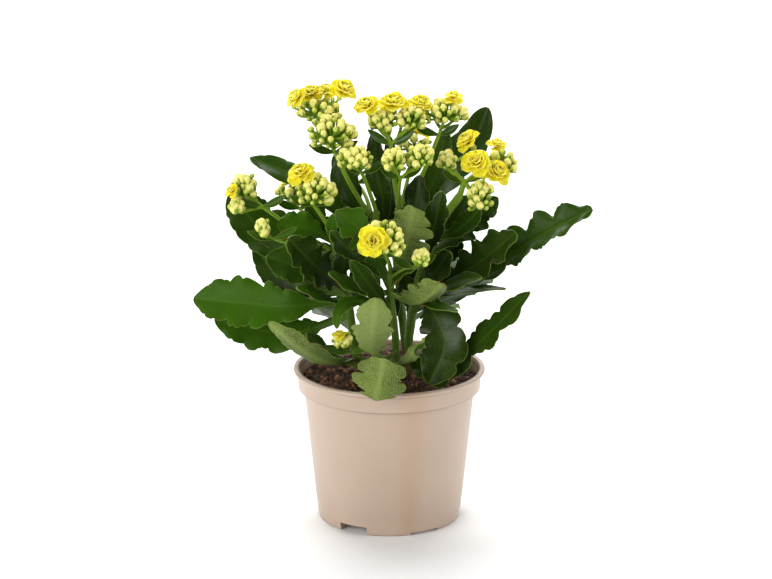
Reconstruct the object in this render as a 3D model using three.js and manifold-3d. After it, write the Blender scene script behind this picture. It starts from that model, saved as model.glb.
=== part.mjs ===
// A double yellow kalanchoe in a plain 12 cm nursery pot.
// Millimetres, +Z up. The origin is the middle of the pot's foot, and -Y is the front.
// The pot, the soil, each leafy stem, each spray of buds and each open bloom are solids of their own.

import * as THREE from 'three';
import { mergeVertices } from 'three/addons/utils/BufferGeometryUtils.js';
import Module from 'manifold-3d';

const wasm = await Module();
wasm.setup();

// ---------------------------------------------------------------- driving dimensions

const POT = {
  height: 97,
  footRadius: 44.9,
  footInnerRadius: 38.3,
  footRound: 2.2,
  wallTopRadius: 53.3,
  collarRadius: 57,
  collarBottom: 84,
  lipRadius: 60,
  lipHeight: 2.6,
  innerTopRadius: 56.2,
  wall: 1.5,
  floorBottom: 5.6,
  floorTop: 7.2,
  sides: 30,
};
const NOTCH = { count: 6, width: 19, deep: 5.4, shallow: 1.8, firstAngle: -120 };
const SOIL = { top: 89, crown: 2.5, grain: 1.1, sides: 16, holeDepth: 24 };
// The gap between solids that touch, and the distance within which corners are one.
const GAP = 0.3;
const WELD = 1e-3;

const LEAF = {
  thickness: 1.3,
  edge: 0.8,
  petiole: 5.5,
  petioleShare: 0.45,
  stalk: 0.2,
  crest: 0.62,
  cut: 0.999,
  tipLobe: 0.4,
};
const BUD = { least: 2, most: 3.1, length: 2.2, waist: 0.48, root: 0.3, sides: 4 };
const HEAD = { core: 0.58, drop: 0.25, branch: 1.1, turns: 1.4, flat: 0.85 };
const BLOOM = {
  petals: 5,
  cut: 0.68,
  neck: 0.22,
  tierRise: 0.18,
  tipRise: 0.2,
  tipLift: 0.2,
  tierShrink: 0.2,
  small: 9.1,
  thickness: 0.8,
  seat: 0.55,
  cupRadius: 2.6,
  cupDepth: 3,
  stalk: 0.8,
};
const GOLDEN_ANGLE = 2.39996;

// The plant is laid out as it is seen from the front: each point is [across, up, depth], where across
// and up are measured square to the line of sight through the rim, and depth runs back from the axis.
const EYE = new THREE.Vector3(-2, -1528, 573);
const SIGHT_CENTRE = 95;
const SIGHT_TILT = THREE.MathUtils.degToRad(15.6);

// ---------------------------------------------------------------- the plant's layout

// Each leafy stem stands at foot [x, y] in the soil and climbs through its route.
const STEMS = {
  left: {
    foot: [-19, 2],
    radius: 2.7,
    route: [[-22, 17, 0], [-26, 44, -4], [-31, 69, -6], [-38, 89, -10]],
  },
  centre: { foot: [3, -15], radius: 2.5, route: [[4, 17, -17], [1, 44, -24], [1, 60, -30]] },
  right: {
    foot: [14, 1],
    radius: 2.9,
    route: [[12, 14, 0], [15, 37, -2], [21, 64, -2], [32, 91, 0], [44, 108, 2]],
  },
  rear_left: {
    foot: [-7, 19],
    radius: 2.7,
    route: [[-8, 24, 18], [-8, 55, 16], [-9, 83, 12], [-8, 98, 7]],
  },
  rear_right: {
    foot: [12, 21],
    radius: 2.7,
    route: [[9, 24, 21], [6, 55, 20], [5, 83, 16], [6, 100, 12]],
  },
};

// Each leaf has its stem, the share of the stem's length where it leaves it, its route to the tip, its
// width, where its upper side looks, its lobes a side, how deep the cuts between them are, how steeply
// its halves rise from the midrib, and, if it is long, its stalk's share of the route.
const LEAVES = [
  ['left', 0.5, [[-62, 39, -10], [-90, 41, 0], [-122, 44, 14]], 34, [0, -1, 0.5], 4, 0.25, 8],
  ['left', 0.4, [[-64, 22, 6], [-109, 31, 14]], 29, [0, -1, 0.6], 4, 0.25, 0],
  ['left', 0.78, [[-65, 78, 16], [-86, 93, 24], [-99, 111, 30]], 36, [0.5, -0.8, 0.4], 3, 0.2, 0],
  ['left', 0.9, [[-52, 88, -12], [-70, 90, -14]], 20, [0, -0.9, 0.5], 3, 0.2, 0],
  ['left', 0.65, [[-56, 64, -14], [-77, 70, -20]], 24, [0, -1, 0.3], 3, 0.2, 10],
  ['left', 0.55, [[-44, 62, -28], [-63, 81, -42]], 30, [0, -0.8, 0.6], 4, 0.5, 12],
  ['left', 0.55, [[-65, 54, 8], [-84, 79, 16]], 20, [-0.3, -0.9, 0.2], 2, 0.16, 0],
  ['left', 0.45, [[-42, 45, -30], [-58, 51, -40]], 13, [0, -0.6, 0.8], 2, 0.35, 0],
  ['left', 0.1, [[-34, 3, -28], [-54, 12, -42], [-75, 29, -52]], 18, [0, 0.8, 0.6], 3, 0.25, 12],
  ['left', 0.06, [[-36, 8, 2], [-52, 22, -4]], 11, [-0.4, -0.5, 0.8], 2, 0.22, 0],
  ['left', 0.66, [[-38, 67, 3], [-43, 79, 4]], 18, [-0.2, -1, 0.2], 3, 0.3, 0],
  ['left', 0.5, [[-37, 52, 10], [-50, 66, 16]], 26, [0.2, -1, 0.3], 2, 0.3, 0],
  ['left', 0.9, [[-36, 86, -16], [-35, 97, -20]], 8, [0, -0.8, 0.6], 2, 0.3, 0],
  ['left', 0.84, [[-31, 84, -8], [-25, 101, -10]], 17, [0.2, -0.9, 0.3], 2, 0.3, 0],
  ['left', 0.62, [[-29, 64, -14], [-24, 81, -18]], 16, [0.2, -0.9, 0.3], 2, 0.3, 0],
  ['left', 0.88, [[-45, 95, -4], [-50, 106, -2]], 15, [0, -1, 0.3], 2, 0.25, 0],
  ['centre', 0.25, [[-5, 6, -36], [-10, 12, -54], [-10, 28, -61], [-8, 44, -62]], 27,
    [0, 1, 0.4], 3, 0.3, 12, 0.45],
  ['centre', 0.1, [[-4, -6, -47], [-8, -19, -68], [-7, -12, -77], [-3, 7, -82]], 35,
    [0.15, 1, 0.4], 3, 0.45, 12, 0.55],
  ['centre', 0.8, [[16, 41, -44], [34, 53, -56]], 28, [-0.3, 0.9, 0.5], 4, 0.5, 20],
  ['centre', 0.8, [[-18, 49, -34], [-38, 60, -40]], 11, [0, -0.6, 0.8], 2, 0.35, 0],
  ['centre', 0.7, [[-22, 42, -36], [-31, 36, -44], [-33, 25, -48]], 10, [-0.4, -0.8, 0.4], 2, 0.35, 0],
  ['centre', 0.8, [[26, 40, -40], [43, 36, -50]], 9, [0, -0.4, 1], 2, 0.35, 0],
  ['centre', 0.9, [[10, 76, -32], [15, 101, -38]], 31, [0.3, 0.9, 0.3], 4, 0.5, 12],
  ['centre', 0.86, [[-14, 82, -36], [-33, 99, -42]], 26, [-0.2, -0.9, 0.4], 3, 0.45, 12],
  ['centre', 0.6, [[-12, 52, -38], [-24, 68, -46]], 13, [-0.2, -0.9, 0.4], 2, 0.35, 0],
  ['centre', 0.93, [[-20, 70, -28], [-37, 86, -34]], 15, [-0.2, -0.9, 0.4], 2, 0.4, 0],
  ['centre', 0.86, [[10, 61, -36], [21, 65, -42]], 9, [0, -0.6, 0.8], 2, 0.25, 0],
  ['centre', 0.14, [[12, 6, -42], [22, 19, -56]], 9, [0.4, -0.5, 0.7], 2, 0.3, 0],
  ['right', 0.36, [[25, 38, -26], [35, 16, -42], [25, -10, -50]], 30, [-0.2, -1, 0.3], 4, 0.25, 0],
  ['right', 0.1, [[32, -7, -30], [49, 9, -38], [67, 26, -40], [88, 48, -40]], 24,
    [-0.5, -0.5, 0.7], 4, 0.45, 0],
  ['right', 0.45, [[54, 56, -2], [88, 79, -6], [127, 100, -14]], 31, [-0.3, -0.6, 0.8], 5, 0.4, 18],
  ['right', 0.42, [[52, 63, -14], [79, 85, -22]], 30, [-0.2, -0.7, 0.8], 4, 0.4, 12],
  ['right', 0.36, [[41, 53, -24], [58, 57, -32]], 16, [0, -0.5, 0.9], 2, 0.25, 0],
  ['right', 0.4, [[50, 49, -10], [73, 50, -12]], 10, [0, -0.2, 1], 2, 0.22, 0],
  ['right', 0.66, [[45, 84, 14], [68, 107, 22]], 20, [-0.3, -0.8, 0.5], 4, 0.4, 0],
  ['right', 0.75, [[42, 86, 0], [57, 100, 6]], 14, [0, -0.8, 0.5], 2, 0.3, 0],
  ['right', 0.55, [[34, 70, 12], [45, 88, 18]], 18, [-0.3, -0.9, 0.3], 2, 0.35, 0],
  ['right', 0.8, [[41, 92, 10], [50, 108, 14]], 16, [-0.3, -0.9, 0.3], 2, 0.3, 0],
  ['right', 0.3, [[13, 44, 6], [10, 58, 8]], 16, [0, -1, 0.3], 2, 0.3, 0],
  ['right', 0.62, [[26, 80, -10], [33, 111, -14]], 16, [-0.1, -0.9, 0.3], 2, 0.3, 0],
  ['right', 0.5, [[27, 59, -16], [38, 73, -22]], 18, [-0.2, -0.9, 0.4], 2, 0.3, 0],
  ['right', 0.12, [[20, -1, -22], [15, 9, -34]], 12, [-0.3, -0.8, 0.5], 2, 0.3, 0],
  ['rear_right', 0.74, [[28, 112, 38], [50, 137, 50], [62, 163, 58]], 29, [-0.4, -0.8, 0.3], 2, 0.16, 15],
  ['rear_right', 0.78, [[28, 118, 31], [36, 150, 36]], 16, [0, -0.9, 0.3], 2, 0.22, 0],
  ['rear_left', 0.72, [[-30, 99, 22], [-57, 119, 34], [-87, 132, 42]], 19, [0, -0.7, 0.7], 3, 0.22, 0],
  ['rear_left', 0.9, [[-24, 108, 17], [-33, 135, 20]], 19, [0.3, -0.9, 0.3], 2, 0.22, 0],
  ['rear_left', 0.62, [[-20, 78, 2], [-28, 100, 2]], 20, [0.2, -1, 0.2], 3, 0.3, 0],
  ['rear_left', 0.42, [[-14, 52, 6], [-22, 69, 6]], 18, [0.2, -1, 0.3], 2, 0.35, 0],
  ['rear_left', 0.72, [[-4, 102, 10], [-8, 122, 20], [-10, 148, 27]], 16,
    [0.2, -1, 0.2], 3, 0.25, 0],
  ['rear_right', 0.74, [[2, 112, 34], [0, 146, 38]], 12, [0, -1, 0.2], 2, 0.25, 0],
  ['rear_right', 0.62, [[14, 86, 8], [19, 121, 10]], 19, [-0.2, -1, 0.2], 3, 0.3, 0],
  ['rear_left', 0.14, [[-2, 30, 12], [4, 50, 8]], 13, [0.1, -1, 0.2], 2, 0.3, 0],
  ['rear_right', 0.6, [[1, 94, 26], [-3, 110, 32]], 14, [0, -1, 0.2], 1, 0.3, 0],
  ['rear_right', 0.38, [[12, 58, 14], [13, 72, 12]], 13, [0, -1, 0.2], 1, 0.3, 0],
  ['rear_left', 0.35, [[-28, 52, 50], [-56, 58, 74]], 28, [-0.2, 0.2, 1], 3, 0.28, 0],
  ['rear_right', 0.35, [[26, 38, 54], [40, 40, 84]], 28, [0.1, 0, 1], 3, 0.28, 0],
  ['rear_left', 0.55, [[-14, 62, 46], [-24, 66, 78]], 26, [0, 0.1, 1], 2, 0.33, 0],
  ['rear_right', 0.6, [[26, 66, 44], [46, 76, 62]], 25, [0.1, 0.3, 1], 2, 0.28, 0],
  ['rear_left', 0.82, [[-26, 90, 40], [-46, 94, 58]], 22, [-0.1, 0.4, 1], 2, 0.28, 0],
  ['rear_right', 0.88, [[6, 98, 42], [8, 108, 62]], 20, [0, 0.5, 1], 2, 0.28, 0],
  ['right', 0.3, [[44, 47, 32], [64, 59, 54]], 26, [0.2, 0.2, 1], 3, 0.28, 0],
  ['left', 0.3, [[-42, 38, 32], [-66, 47, 52]], 26, [-0.2, 0.2, 1], 2, 0.28, 0],
  ['right', 0.5, [[48, 66, 32], [74, 70, 52]], 22, [0.2, 0.3, 1], 2, 0.28, 0],
  ['left', 0.65, [[-52, 66, 28], [-76, 66, 48]], 22, [-0.2, 0.3, 1], 2, 0.28, 0],
].map(([stem, at, route, width, face, lobes, depth, fold, stalk = LEAF.stalk]) => (
  { stem, at, route, width, face, lobes, depth, fold, stalk }
));

// Each spray leaves its stem as a leaf does, forks at the end of its route, and carries heads of buds
// and open blooms. A head is [centre, half width, half height, buds], and a bloom is [place, radius,
// where it looks].
const SPRAYS = {
  top_left: {
    from: ['rear_left', 0.93],
    radius: 1.5,
    route: [[-22, 111, 6], [-34, 135, 10]],
    heads: [[[-44, 161, 22], 17, 9, 8], [[-36, 147, 4], 16, 13, 12]],
    blooms: [
      [[-59, 171, 16], 7.5, [-0.7, -0.3, 0.8]],
      [[-49, 174, 26], 7.5, [0, -0.4, 1]],
      [[-39, 175, 34], 7.5, [0, -0.3, 1]],
      [[-28, 176, 18], 9.2, [0.4, -0.4, 0.9]],
    ],
  },
  upper_left: {
    from: ['rear_left', 1],
    radius: 1.3,
    route: [[-14, 115, 0], [-17, 122, -6]],
    heads: [[[-21, 131, -12], 12, 9, 9]],
    blooms: [],
  },
  upper_right: {
    from: ['rear_right', 0.84],
    radius: 1.3,
    route: [[6, 111, 2], [7, 119, -6]],
    heads: [[[3, 130, -17], 9, 9, 6], [[19, 132, -14], 10, 9, 8]],
    blooms: [],
  },
  top_middle: {
    from: ['rear_right', 1],
    radius: 1.5,
    route: [[3, 120, 16], [1, 140, 14]],
    heads: [[[-4, 155, 14], 10, 9, 6], [[14, 156, 16], 12, 9, 8]],
    blooms: [
      [[-14, 166, 8], 8.5, [-0.3, -0.5, 1]],
      [[3, 168, 16], 9.5, [0, -0.4, 1]],
      [[20, 167, 20], 8.5, [0.3, -0.4, 1]],
    ],
  },
  top_right: {
    from: ['rear_right', 0.94],
    radius: 1.4,
    route: [[20, 120, 26], [31, 146, 24]],
    heads: [[[35, 160, 26], 15, 10, 10]],
    blooms: [[[40, 171, 24], 6.5, [0.1, -0.3, 1]]],
  },
  right: {
    from: ['right', 1],
    radius: 1.9,
    route: [[47, 117, 2]],
    heads: [[[70, 127, 4], 11, 11, 7], [[57, 107, -12], 9, 13, 8], [[36, 129, 4], 7, 8, 4]],
    blooms: [
      [[48, 144, 4], 8, [-0.6, -0.3, 0.8]],
      [[54, 130, -14], 9.5, [-0.2, -0.7, 0.7]],
      [[68, 124, -10], 9, [0.4, -0.6, 0.7]],
      [[68, 141, 10], 6.5, [0.2, -0.3, 1]],
    ],
  },
  left_high: {
    from: ['left', 1],
    radius: 1.4,
    route: [[-44, 98, -14], [-47, 102, -16]],
    heads: [[[-46, 111, -18], 13, 12, 12]],
    blooms: [[[-56, 124, -20], 8.5, [-0.2, -0.5, 0.9]]],
  },
  far_left: {
    from: ['left', 0.8],
    radius: 1.4,
    route: [[-60, 88, -2], [-79, 101, -6]],
    heads: [[[-90, 113, -4], 9, 10, 7], [[-95, 101, -12], 6, 7, 4]],
    blooms: [[[-99, 112, -12], 5, [-0.5, -0.4, 0.6]]],
  },
  left_low: {
    from: ['left', 0.71],
    radius: 1,
    route: [[-58, 76, -20], [-72, 81, -22]],
    heads: [[[-79, 87, -24], 5, 8, 4]],
    blooms: [],
  },
  front: {
    from: ['centre', 1],
    radius: 1.4,
    route: [[0, 66, -42], [-2, 70, -48]],
    heads: [[[-4, 80, -58], 14, 14, 12]],
    blooms: [[[-10, 80, -70], 9.5, [-0.1, -1, 0.3]]],
  },
  front_right: {
    from: ['centre', 0.95],
    radius: 1,
    route: [[9, 62, -42], [15, 63, -46]],
    heads: [[[20, 69, -50], 6.5, 6.5, 5]],
    blooms: [],
  },
  low_left: {
    from: ['centre', 0.15],
    radius: 1,
    route: [[-15, 6, -24], [-24, 10, -28]],
    heads: [[[-29, 17, -30], 7, 7, 6]],
    blooms: [[[-31, 22, -34], 4.5, [0, -0.3, 1]]],
  },
  back_left: {
    from: ['rear_left', 0.88],
    radius: 1.4,
    route: [[-14, 106, 30], [-20, 116, 46]],
    heads: [[[-24, 128, 54], 13, 9, 5]],
    blooms: [[[-26, 138, 60], 8, [-0.1, 0.4, 0.9]]],
  },
  back_right: {
    from: ['rear_right', 0.89],
    radius: 1.4,
    route: [[10, 112, 32], [14, 128, 48]],
    heads: [[[16, 141, 56], 13, 9, 5]],
    blooms: [[[17, 151, 60], 8, [0.1, 0.4, 0.9]]],
  },
  back_far_left: {
    from: ['left', 0.85],
    radius: 1.3,
    route: [[-46, 90, 16], [-56, 100, 40]],
    heads: [[[-62, 110, 48], 10, 8, 5]],
    blooms: [[[-64, 118, 52], 6, [-0.4, 0.3, 0.8]]],
  },
};

const COLOUR = {
  pot: 0xc4b0a0,
  soil: 0x4a2f1e,
  leaf: 0x2f5a22,
  spray: 0x9db35a,
  bloom: 0xf2cf1c,
};

// ---------------------------------------------------------------- solids

// A closed geometry becomes a solid whose faces point out.
function solidOf(geometry) {
  geometry.deleteAttribute('normal');
  geometry.deleteAttribute('uv');
  const welded = mergeVertices(geometry, WELD);
  const place = welded.getAttribute('position');
  const corner = [0, 1, 2].map(() => new THREE.Vector3());
  const triangles = [];
  let volume = 0;
  for (let i = 0; i < welded.index.count; i += 3) {
    const ids = [0, 1, 2].map((k) => welded.index.getX(i + k));
    if (new Set(ids).size < 3) continue;
    ids.forEach((id, k) => corner[k].fromBufferAttribute(place, id));
    volume += corner[0].dot(corner[1].clone().cross(corner[2]));
    triangles.push(ids);
  }
  const outward = triangles.flatMap((ids) => (volume > 0 ? ids : [...ids].reverse()));
  return new wasm.Manifold(
    new wasm.Mesh({ numProp: 3, vertProperties: place.array, triVerts: new Uint32Array(outward) }),
  );
}

const joined = (solids) => solids.reduce((whole, solid) => whole.add(solid));

// The largest body of a solid: a scrap that a cut leaves loose is dropped.
function mainBody(solid) {
  const bodies = solid.decompose();
  return bodies.reduce((best, body) => (body.volume() > best.volume() ? body : best));
}

function meshOf(name, solid, colour, roughness) {
  const { vertProperties, triVerts } = solid.getMesh();
  const geometry = new THREE.BufferGeometry();
  geometry.setAttribute('position', new THREE.BufferAttribute(vertProperties, 3));
  geometry.setIndex(new THREE.BufferAttribute(triVerts, 1));
  const material = new THREE.MeshStandardMaterial({ color: colour, roughness, metalness: 0 });
  const mesh = new THREE.Mesh(geometry, material);
  mesh.name = name;
  return mesh;
}

function turned(profile, sides) {
  const points = profile.map(([radius, height]) => new THREE.Vector2(radius, height));
  return new THREE.LatheGeometry(points, sides).rotateX(Math.PI / 2);
}

// A stalk of one thickness along a curve, with closed ends.
function stalk(points, radius, sides, stepsPerSpan) {
  const shape = new THREE.Shape();
  for (let k = 0; k < sides; k += 1) {
    const angle = (k / sides) * Math.PI * 2;
    const [x, y] = [Math.cos(angle) * radius, Math.sin(angle) * radius];
    if (k === 0) shape.moveTo(x, y);
    else shape.lineTo(x, y);
  }
  const steps = (points.length - 1) * stepsPerSpan;
  const path = { extrudePath: smooth(points), steps, bevelEnabled: false, curveSegments: 1 };
  return solidOf(new THREE.ExtrudeGeometry(shape, path));
}

const smooth = (points) => new THREE.CatmullRomCurve3(points, false, 'catmullrom', 0.5);

// A repeatable draw between 0 and 1.
function draw(seed) {
  const wave = Math.sin(seed * 12.9898 + 4.1) * 437.5853;
  return wave - Math.floor(wave);
}

// ---------------------------------------------------------------- layout

function seen([across, up, depth]) {
  const onPlane = new THREE.Vector3(
    across,
    up * Math.sin(SIGHT_TILT),
    SIGHT_CENTRE + up * Math.cos(SIGHT_TILT),
  );
  return EYE.clone().lerp(onPlane, (depth - EYE.y) / (onPlane.y - EYE.y));
}

function stemPoints({ foot, route }) {
  const [x, y] = foot;
  const inSoil = new THREE.Vector3(x, y, SOIL.top - SOIL.holeDepth + 1);
  const atSurface = new THREE.Vector3(x, y, SOIL.top + 2);
  return [inSoil, atSurface, ...route.map(seen)];
}

// The share of the stem's length is counted from the soil's surface up.
function stemPoint(stem, share) {
  const above = stemPoints(stem).slice(1);
  return smooth(above).getPointAt(share);
}

// ---------------------------------------------------------------- leaves

// Half of the leaf's width at a share of its length: a narrow stalk, then a blade that is broadest
// past its middle, blunt at its tip, and cut into rounded lobes that lean to the tip.
function halfWidth(leaf, share) {
  const stalkWidth = Math.min(LEAF.petiole, leaf.width * LEAF.petioleShare) / 2;
  const along = Math.max(0, (share - leaf.stalk) / (1 - leaf.stalk));
  const body = Math.sin(Math.PI * Math.min(along ** 1.2, 0.96)) ** 0.55;
  const lobe = (along * (leaf.lobes + LEAF.tipLobe)) % 1;
  const scallop = Math.sin(Math.PI * lobe ** 1.45) ** 0.45;
  return Math.max(stalkWidth, (leaf.width / 2) * body * (1 - leaf.depth * (1 - scallop)));
}

// Rows cross the leaf at each cut and each crest of its edge.
function leafRows(leaf) {
  const rows = [];
  for (let share = 0; share < leaf.stalk; share += LEAF.stalk) rows.push(share);
  rows.push(leaf.stalk);
  for (let lobe = 0; lobe < leaf.lobes; lobe += 1) {
    for (const step of [LEAF.crest, LEAF.cut]) {
      const along = (lobe + step) / (leaf.lobes + LEAF.tipLobe);
      rows.push(leaf.stalk + along * (1 - leaf.stalk));
    }
  }
  rows.push(1);
  return rows;
}

// Frames along the midrib that keep the leaf's upper side as it is at the middle of the blade.
function leafFrames(points, face, shares) {
  const midrib = smooth(points);
  const upper = new THREE.Vector3(...face);
  return shares.map((share) => {
    const centre = midrib.getPointAt(share);
    const along = midrib.getTangentAt(share);
    const side = along.clone().cross(upper).normalize();
    return { centre, side, normal: side.clone().cross(along).normalize() };
  });
}

// A plate through rows of points across it, each with its normal and its depth there. Both faces are
// split alike.
function plate(rows) {
  const columns = rows[0].length;
  const points = [];
  for (const side of [0.5, -0.5]) {
    for (const { point, normal, depth } of rows.flat()) {
      points.push(point.clone().addScaledVector(normal, side * depth));
    }
  }
  const lower = rows.length * columns;
  const index = [];
  for (let r = 0; r < rows.length - 1; r += 1) {
    for (let k = 0; k < columns - 1; k += 1) {
      const a = r * columns + k;
      const [b, c, d] = [a + 1, a + columns + 1, a + columns];
      const halves = k === 0 ? [[a, b, c], [a, c, d]] : [[a, b, d], [b, c, d]];
      for (const [i, j, l] of halves) index.push(i, j, l, lower + i, lower + l, lower + j);
    }
  }
  const rim = [];
  for (let k = 0; k < columns; k += 1) rim.push(k);
  for (let r = 1; r < rows.length; r += 1) rim.push(r * columns + columns - 1);
  for (let k = columns - 2; k >= 0; k -= 1) rim.push((rows.length - 1) * columns + k);
  for (let r = rows.length - 2; r > 0; r -= 1) rim.push(r * columns);
  rim.forEach((a, k) => {
    const b = rim[(k + 1) % rim.length];
    index.push(b, a, a + lower, b, a + lower, b + lower);
  });
  return solidOf(surface(points, index));
}

function surface(points, index) {
  const geometry = new THREE.BufferGeometry();
  const places = points.flatMap((point) => point.toArray());
  geometry.setAttribute('position', new THREE.Float32BufferAttribute(places, 3));
  return geometry.setIndex(index);
}

// A folded leaf has a midrib between its two halves, and a flat one runs from edge to edge.
function leafSolid(leaf) {
  const points = [stemPoint(STEMS[leaf.stem], leaf.at), ...leaf.route.map(seen)];
  const shares = leafRows(leaf);
  const fold = THREE.MathUtils.degToRad(leaf.fold);
  const rows = leafFrames(points, leaf.face, shares).map(({ centre, side, normal }, k) => {
    const reach = halfWidth(leaf, shares[k]);
    const edgeAt = (hand) => {
      const point = centre.clone().addScaledVector(side, hand * reach * Math.cos(fold));
      point.addScaledVector(normal, reach * Math.sin(fold));
      return { point, normal, depth: LEAF.edge };
    };
    const midrib = { point: centre, normal, depth: LEAF.thickness };
    return fold === 0 ? [edgeAt(-1), edgeAt(1)] : [edgeAt(-1), midrib, edgeAt(1)];
  });
  return plate(rows);
}

// The room that a spray leaves free round the stem it grows from, and past the stem's end.
function stemSheath(stem) {
  const points = stemPoints(stem);
  const end = points.length - 1;
  const onward = points[end].clone().sub(points[end - 1]).normalize();
  points[end].addScaledVector(onward, GAP);
  return stalk(points, stem.radius + GAP, 6, 1);
}

function stemSolid(name) {
  const stem = STEMS[name];
  const body = stalk(stemPoints(stem), stem.radius, 6, 1);
  const leaves = LEAVES.filter((leaf) => leaf.stem === name).map(leafSolid);
  return joined([body, ...leaves]);
}

// ---------------------------------------------------------------- sprays and blooms

function turnedAlong(profile, sides, from, direction) {
  const turn = new THREE.Quaternion().setFromUnitVectors(new THREE.Vector3(0, 0, 1), direction);
  return turned(profile, sides).applyQuaternion(turn).translate(...from.toArray());
}

// A bud widens from a fine root inside the head to its waist and ends in a point.
function budSolid(hub, { place, radius }) {
  const outward = place.clone().sub(hub);
  const root = hub.clone().addScaledVector(outward, BUD.root);
  const base = outward.length() * (1 - BUD.root) - radius;
  const long = radius * BUD.length;
  const profile = [[0, 0], [radius, base + long * BUD.waist], [0, base + long]];
  return solidOf(turnedAlong(profile, BUD.sides, root, outward.normalize()));
}

// Buds lie over a head on a spiral of golden angles.
function budsOf([centre, wide, high, count], seed) {
  const middle = seen(centre);
  return Array.from({ length: count }, (_, k) => {
    const rise = 1 - (HEAD.turns * (k + 0.5)) / count;
    const spread = Math.sqrt(1 - rise * rise);
    const angle = k * GOLDEN_ANGLE + seed;
    const radius = BUD.least + (BUD.most - BUD.least) * draw(seed + k);
    const offset = new THREE.Vector3(
      (wide - radius) * spread * Math.cos(angle),
      (wide - radius) * spread * Math.sin(angle) * HEAD.flat,
      (high - radius) * rise,
    );
    return { place: middle.clone().add(offset), radius };
  });
}

function bloomParts([place, radius, face]) {
  const at = seen(place);
  const facing = new THREE.Vector3(...face).normalize();
  return { at, radius, facing, seat: at.clone().addScaledVector(facing, -radius * BLOOM.seat) };
}

const allBlooms = Object.values(SPRAYS).flatMap((spray) => spray.blooms.map(bloomParts));

// A bud is left out where an open bloom takes its place.
const clearOfBlooms = ({ place, radius }) =>
  allBlooms.every((bloom) => bloom.at.distanceTo(place) > bloom.radius + radius);

const hubOf = ([centre, , high]) => seen(centre).sub(new THREE.Vector3(0, 0, high * HEAD.drop));

const nearest = (point, places) =>
  places.reduce((best, place) => (place.distanceTo(point) < best.distanceTo(point) ? place : best));

// The green middle of a head, which its buds stand out of.
function headCore(head) {
  const [wide, high] = [head[1] * HEAD.core, head[2] * HEAD.core];
  const egg = new THREE.SphereGeometry(1, 5, 3).rotateX(Math.PI / 2);
  return solidOf(egg.scale(wide, wide * HEAD.flat, high).translate(...hubOf(head).toArray()));
}

function spraySolid(name) {
  const { from, radius, route, heads, blooms } = SPRAYS[name];
  const points = [stemPoint(STEMS[from[0]], from[1]), ...route.map(seen)];
  const fork = points[points.length - 1];
  const parts = [stalk(points, radius, 4, 2)];
  const hubs = heads.map(hubOf);
  heads.forEach((head, k) => {
    parts.push(stalk([fork, hubs[k]], HEAD.branch, 3, 1), headCore(head));
    for (const bud of budsOf(head, name.length + k)) {
      if (clearOfBlooms(bud)) parts.push(budSolid(hubs[k], bud));
    }
  });
  for (const { facing, seat } of blooms.map(bloomParts)) {
    const cup = [
      [0, -BLOOM.cupDepth * 2],
      [BLOOM.stalk, -BLOOM.cupDepth],
      [BLOOM.cupRadius, 0],
      [0, 0],
    ];
    const under = seat.clone().addScaledVector(facing, -BLOOM.cupDepth);
    parts.push(solidOf(turnedAlong(cup, 4, seat, facing)));
    parts.push(stalk([nearest(seat, [fork, ...hubs]), under], BLOOM.stalk, 3, 1));
  }
  return joined(parts);
}

// A closed surface through rings of equal count between two end points. leans tells for each band
// between two rings which way its four-cornered faces are split.
function ringSolid(first, rings, last, leans) {
  const around = rings[0].length;
  const index = [];
  for (let k = 0; k < around; k += 1) {
    const next = (k + 1) % around;
    index.push(0, 1 + next, 1 + k);
    for (let r = 0; r < rings.length - 1; r += 1) {
      const [a, b] = [1 + r * around + k, 1 + r * around + next];
      const [c, d] = [b + around, a + around];
      if (leans(r)) index.push(a, b, d, b, c, d);
      else index.push(a, b, c, a, c, d);
    }
    const lastRing = 1 + (rings.length - 1) * around;
    index.push(lastRing + k, lastRing + next, lastRing + around);
  }
  return solidOf(surface([first, ...rings.flat(), last], index));
}

// A double bloom: tiers of petals round one neck, each a thin cup cut between its petals, closing up
// to the middle. The under and upper side of a tier are split alike.
function bloomSolid(bloom) {
  const { facing, seat, radius: size } = bloomParts(bloom);
  const base = seat.clone().addScaledVector(facing, GAP);
  const turn = new THREE.Quaternion().setFromUnitVectors(new THREE.Vector3(0, 0, 1), facing);
  const put = (x, y, z) => new THREE.Vector3(x, y, z).applyQuaternion(turn).add(base);
  const around = BLOOM.petals * 2;
  const ringOf = (radiusAt, heightAt) =>
    Array.from({ length: around }, (_, k) => {
      const angle = (k / around) * Math.PI * 2;
      return put(radiusAt(k) * Math.cos(angle), radiusAt(k) * Math.sin(angle), heightAt(k));
    });
  const neckRing = (height) => ringOf(() => size * BLOOM.neck, () => height);
  const tiers = size > BLOOM.small ? 3 : 2;
  const rings = [];
  for (let tier = 0; tier < tiers; tier += 1) {
    const root = size * BLOOM.tierRise * tier;
    const rise = size * (BLOOM.tipRise + BLOOM.tipLift * tier);
    const reach = size * (1 - BLOOM.tierShrink * tier);
    const share = (k) => ((k + tier) % 2 === 0 ? 1 : BLOOM.cut);
    if (tier > 0) rings.push(neckRing(root));
    for (const lift of [0, BLOOM.thickness]) {
      rings.push(ringOf((k) => reach * share(k), (k) => root + lift + rise * share(k)));
    }
  }
  const crown = size * BLOOM.tierRise * tiers;
  rings.push(neckRing(crown));
  return ringSolid(put(0, 0, 0), rings, put(0, 0, crown + BLOOM.thickness), (band) => band % 3 === 1);
}

// ---------------------------------------------------------------- pot and soil

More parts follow.
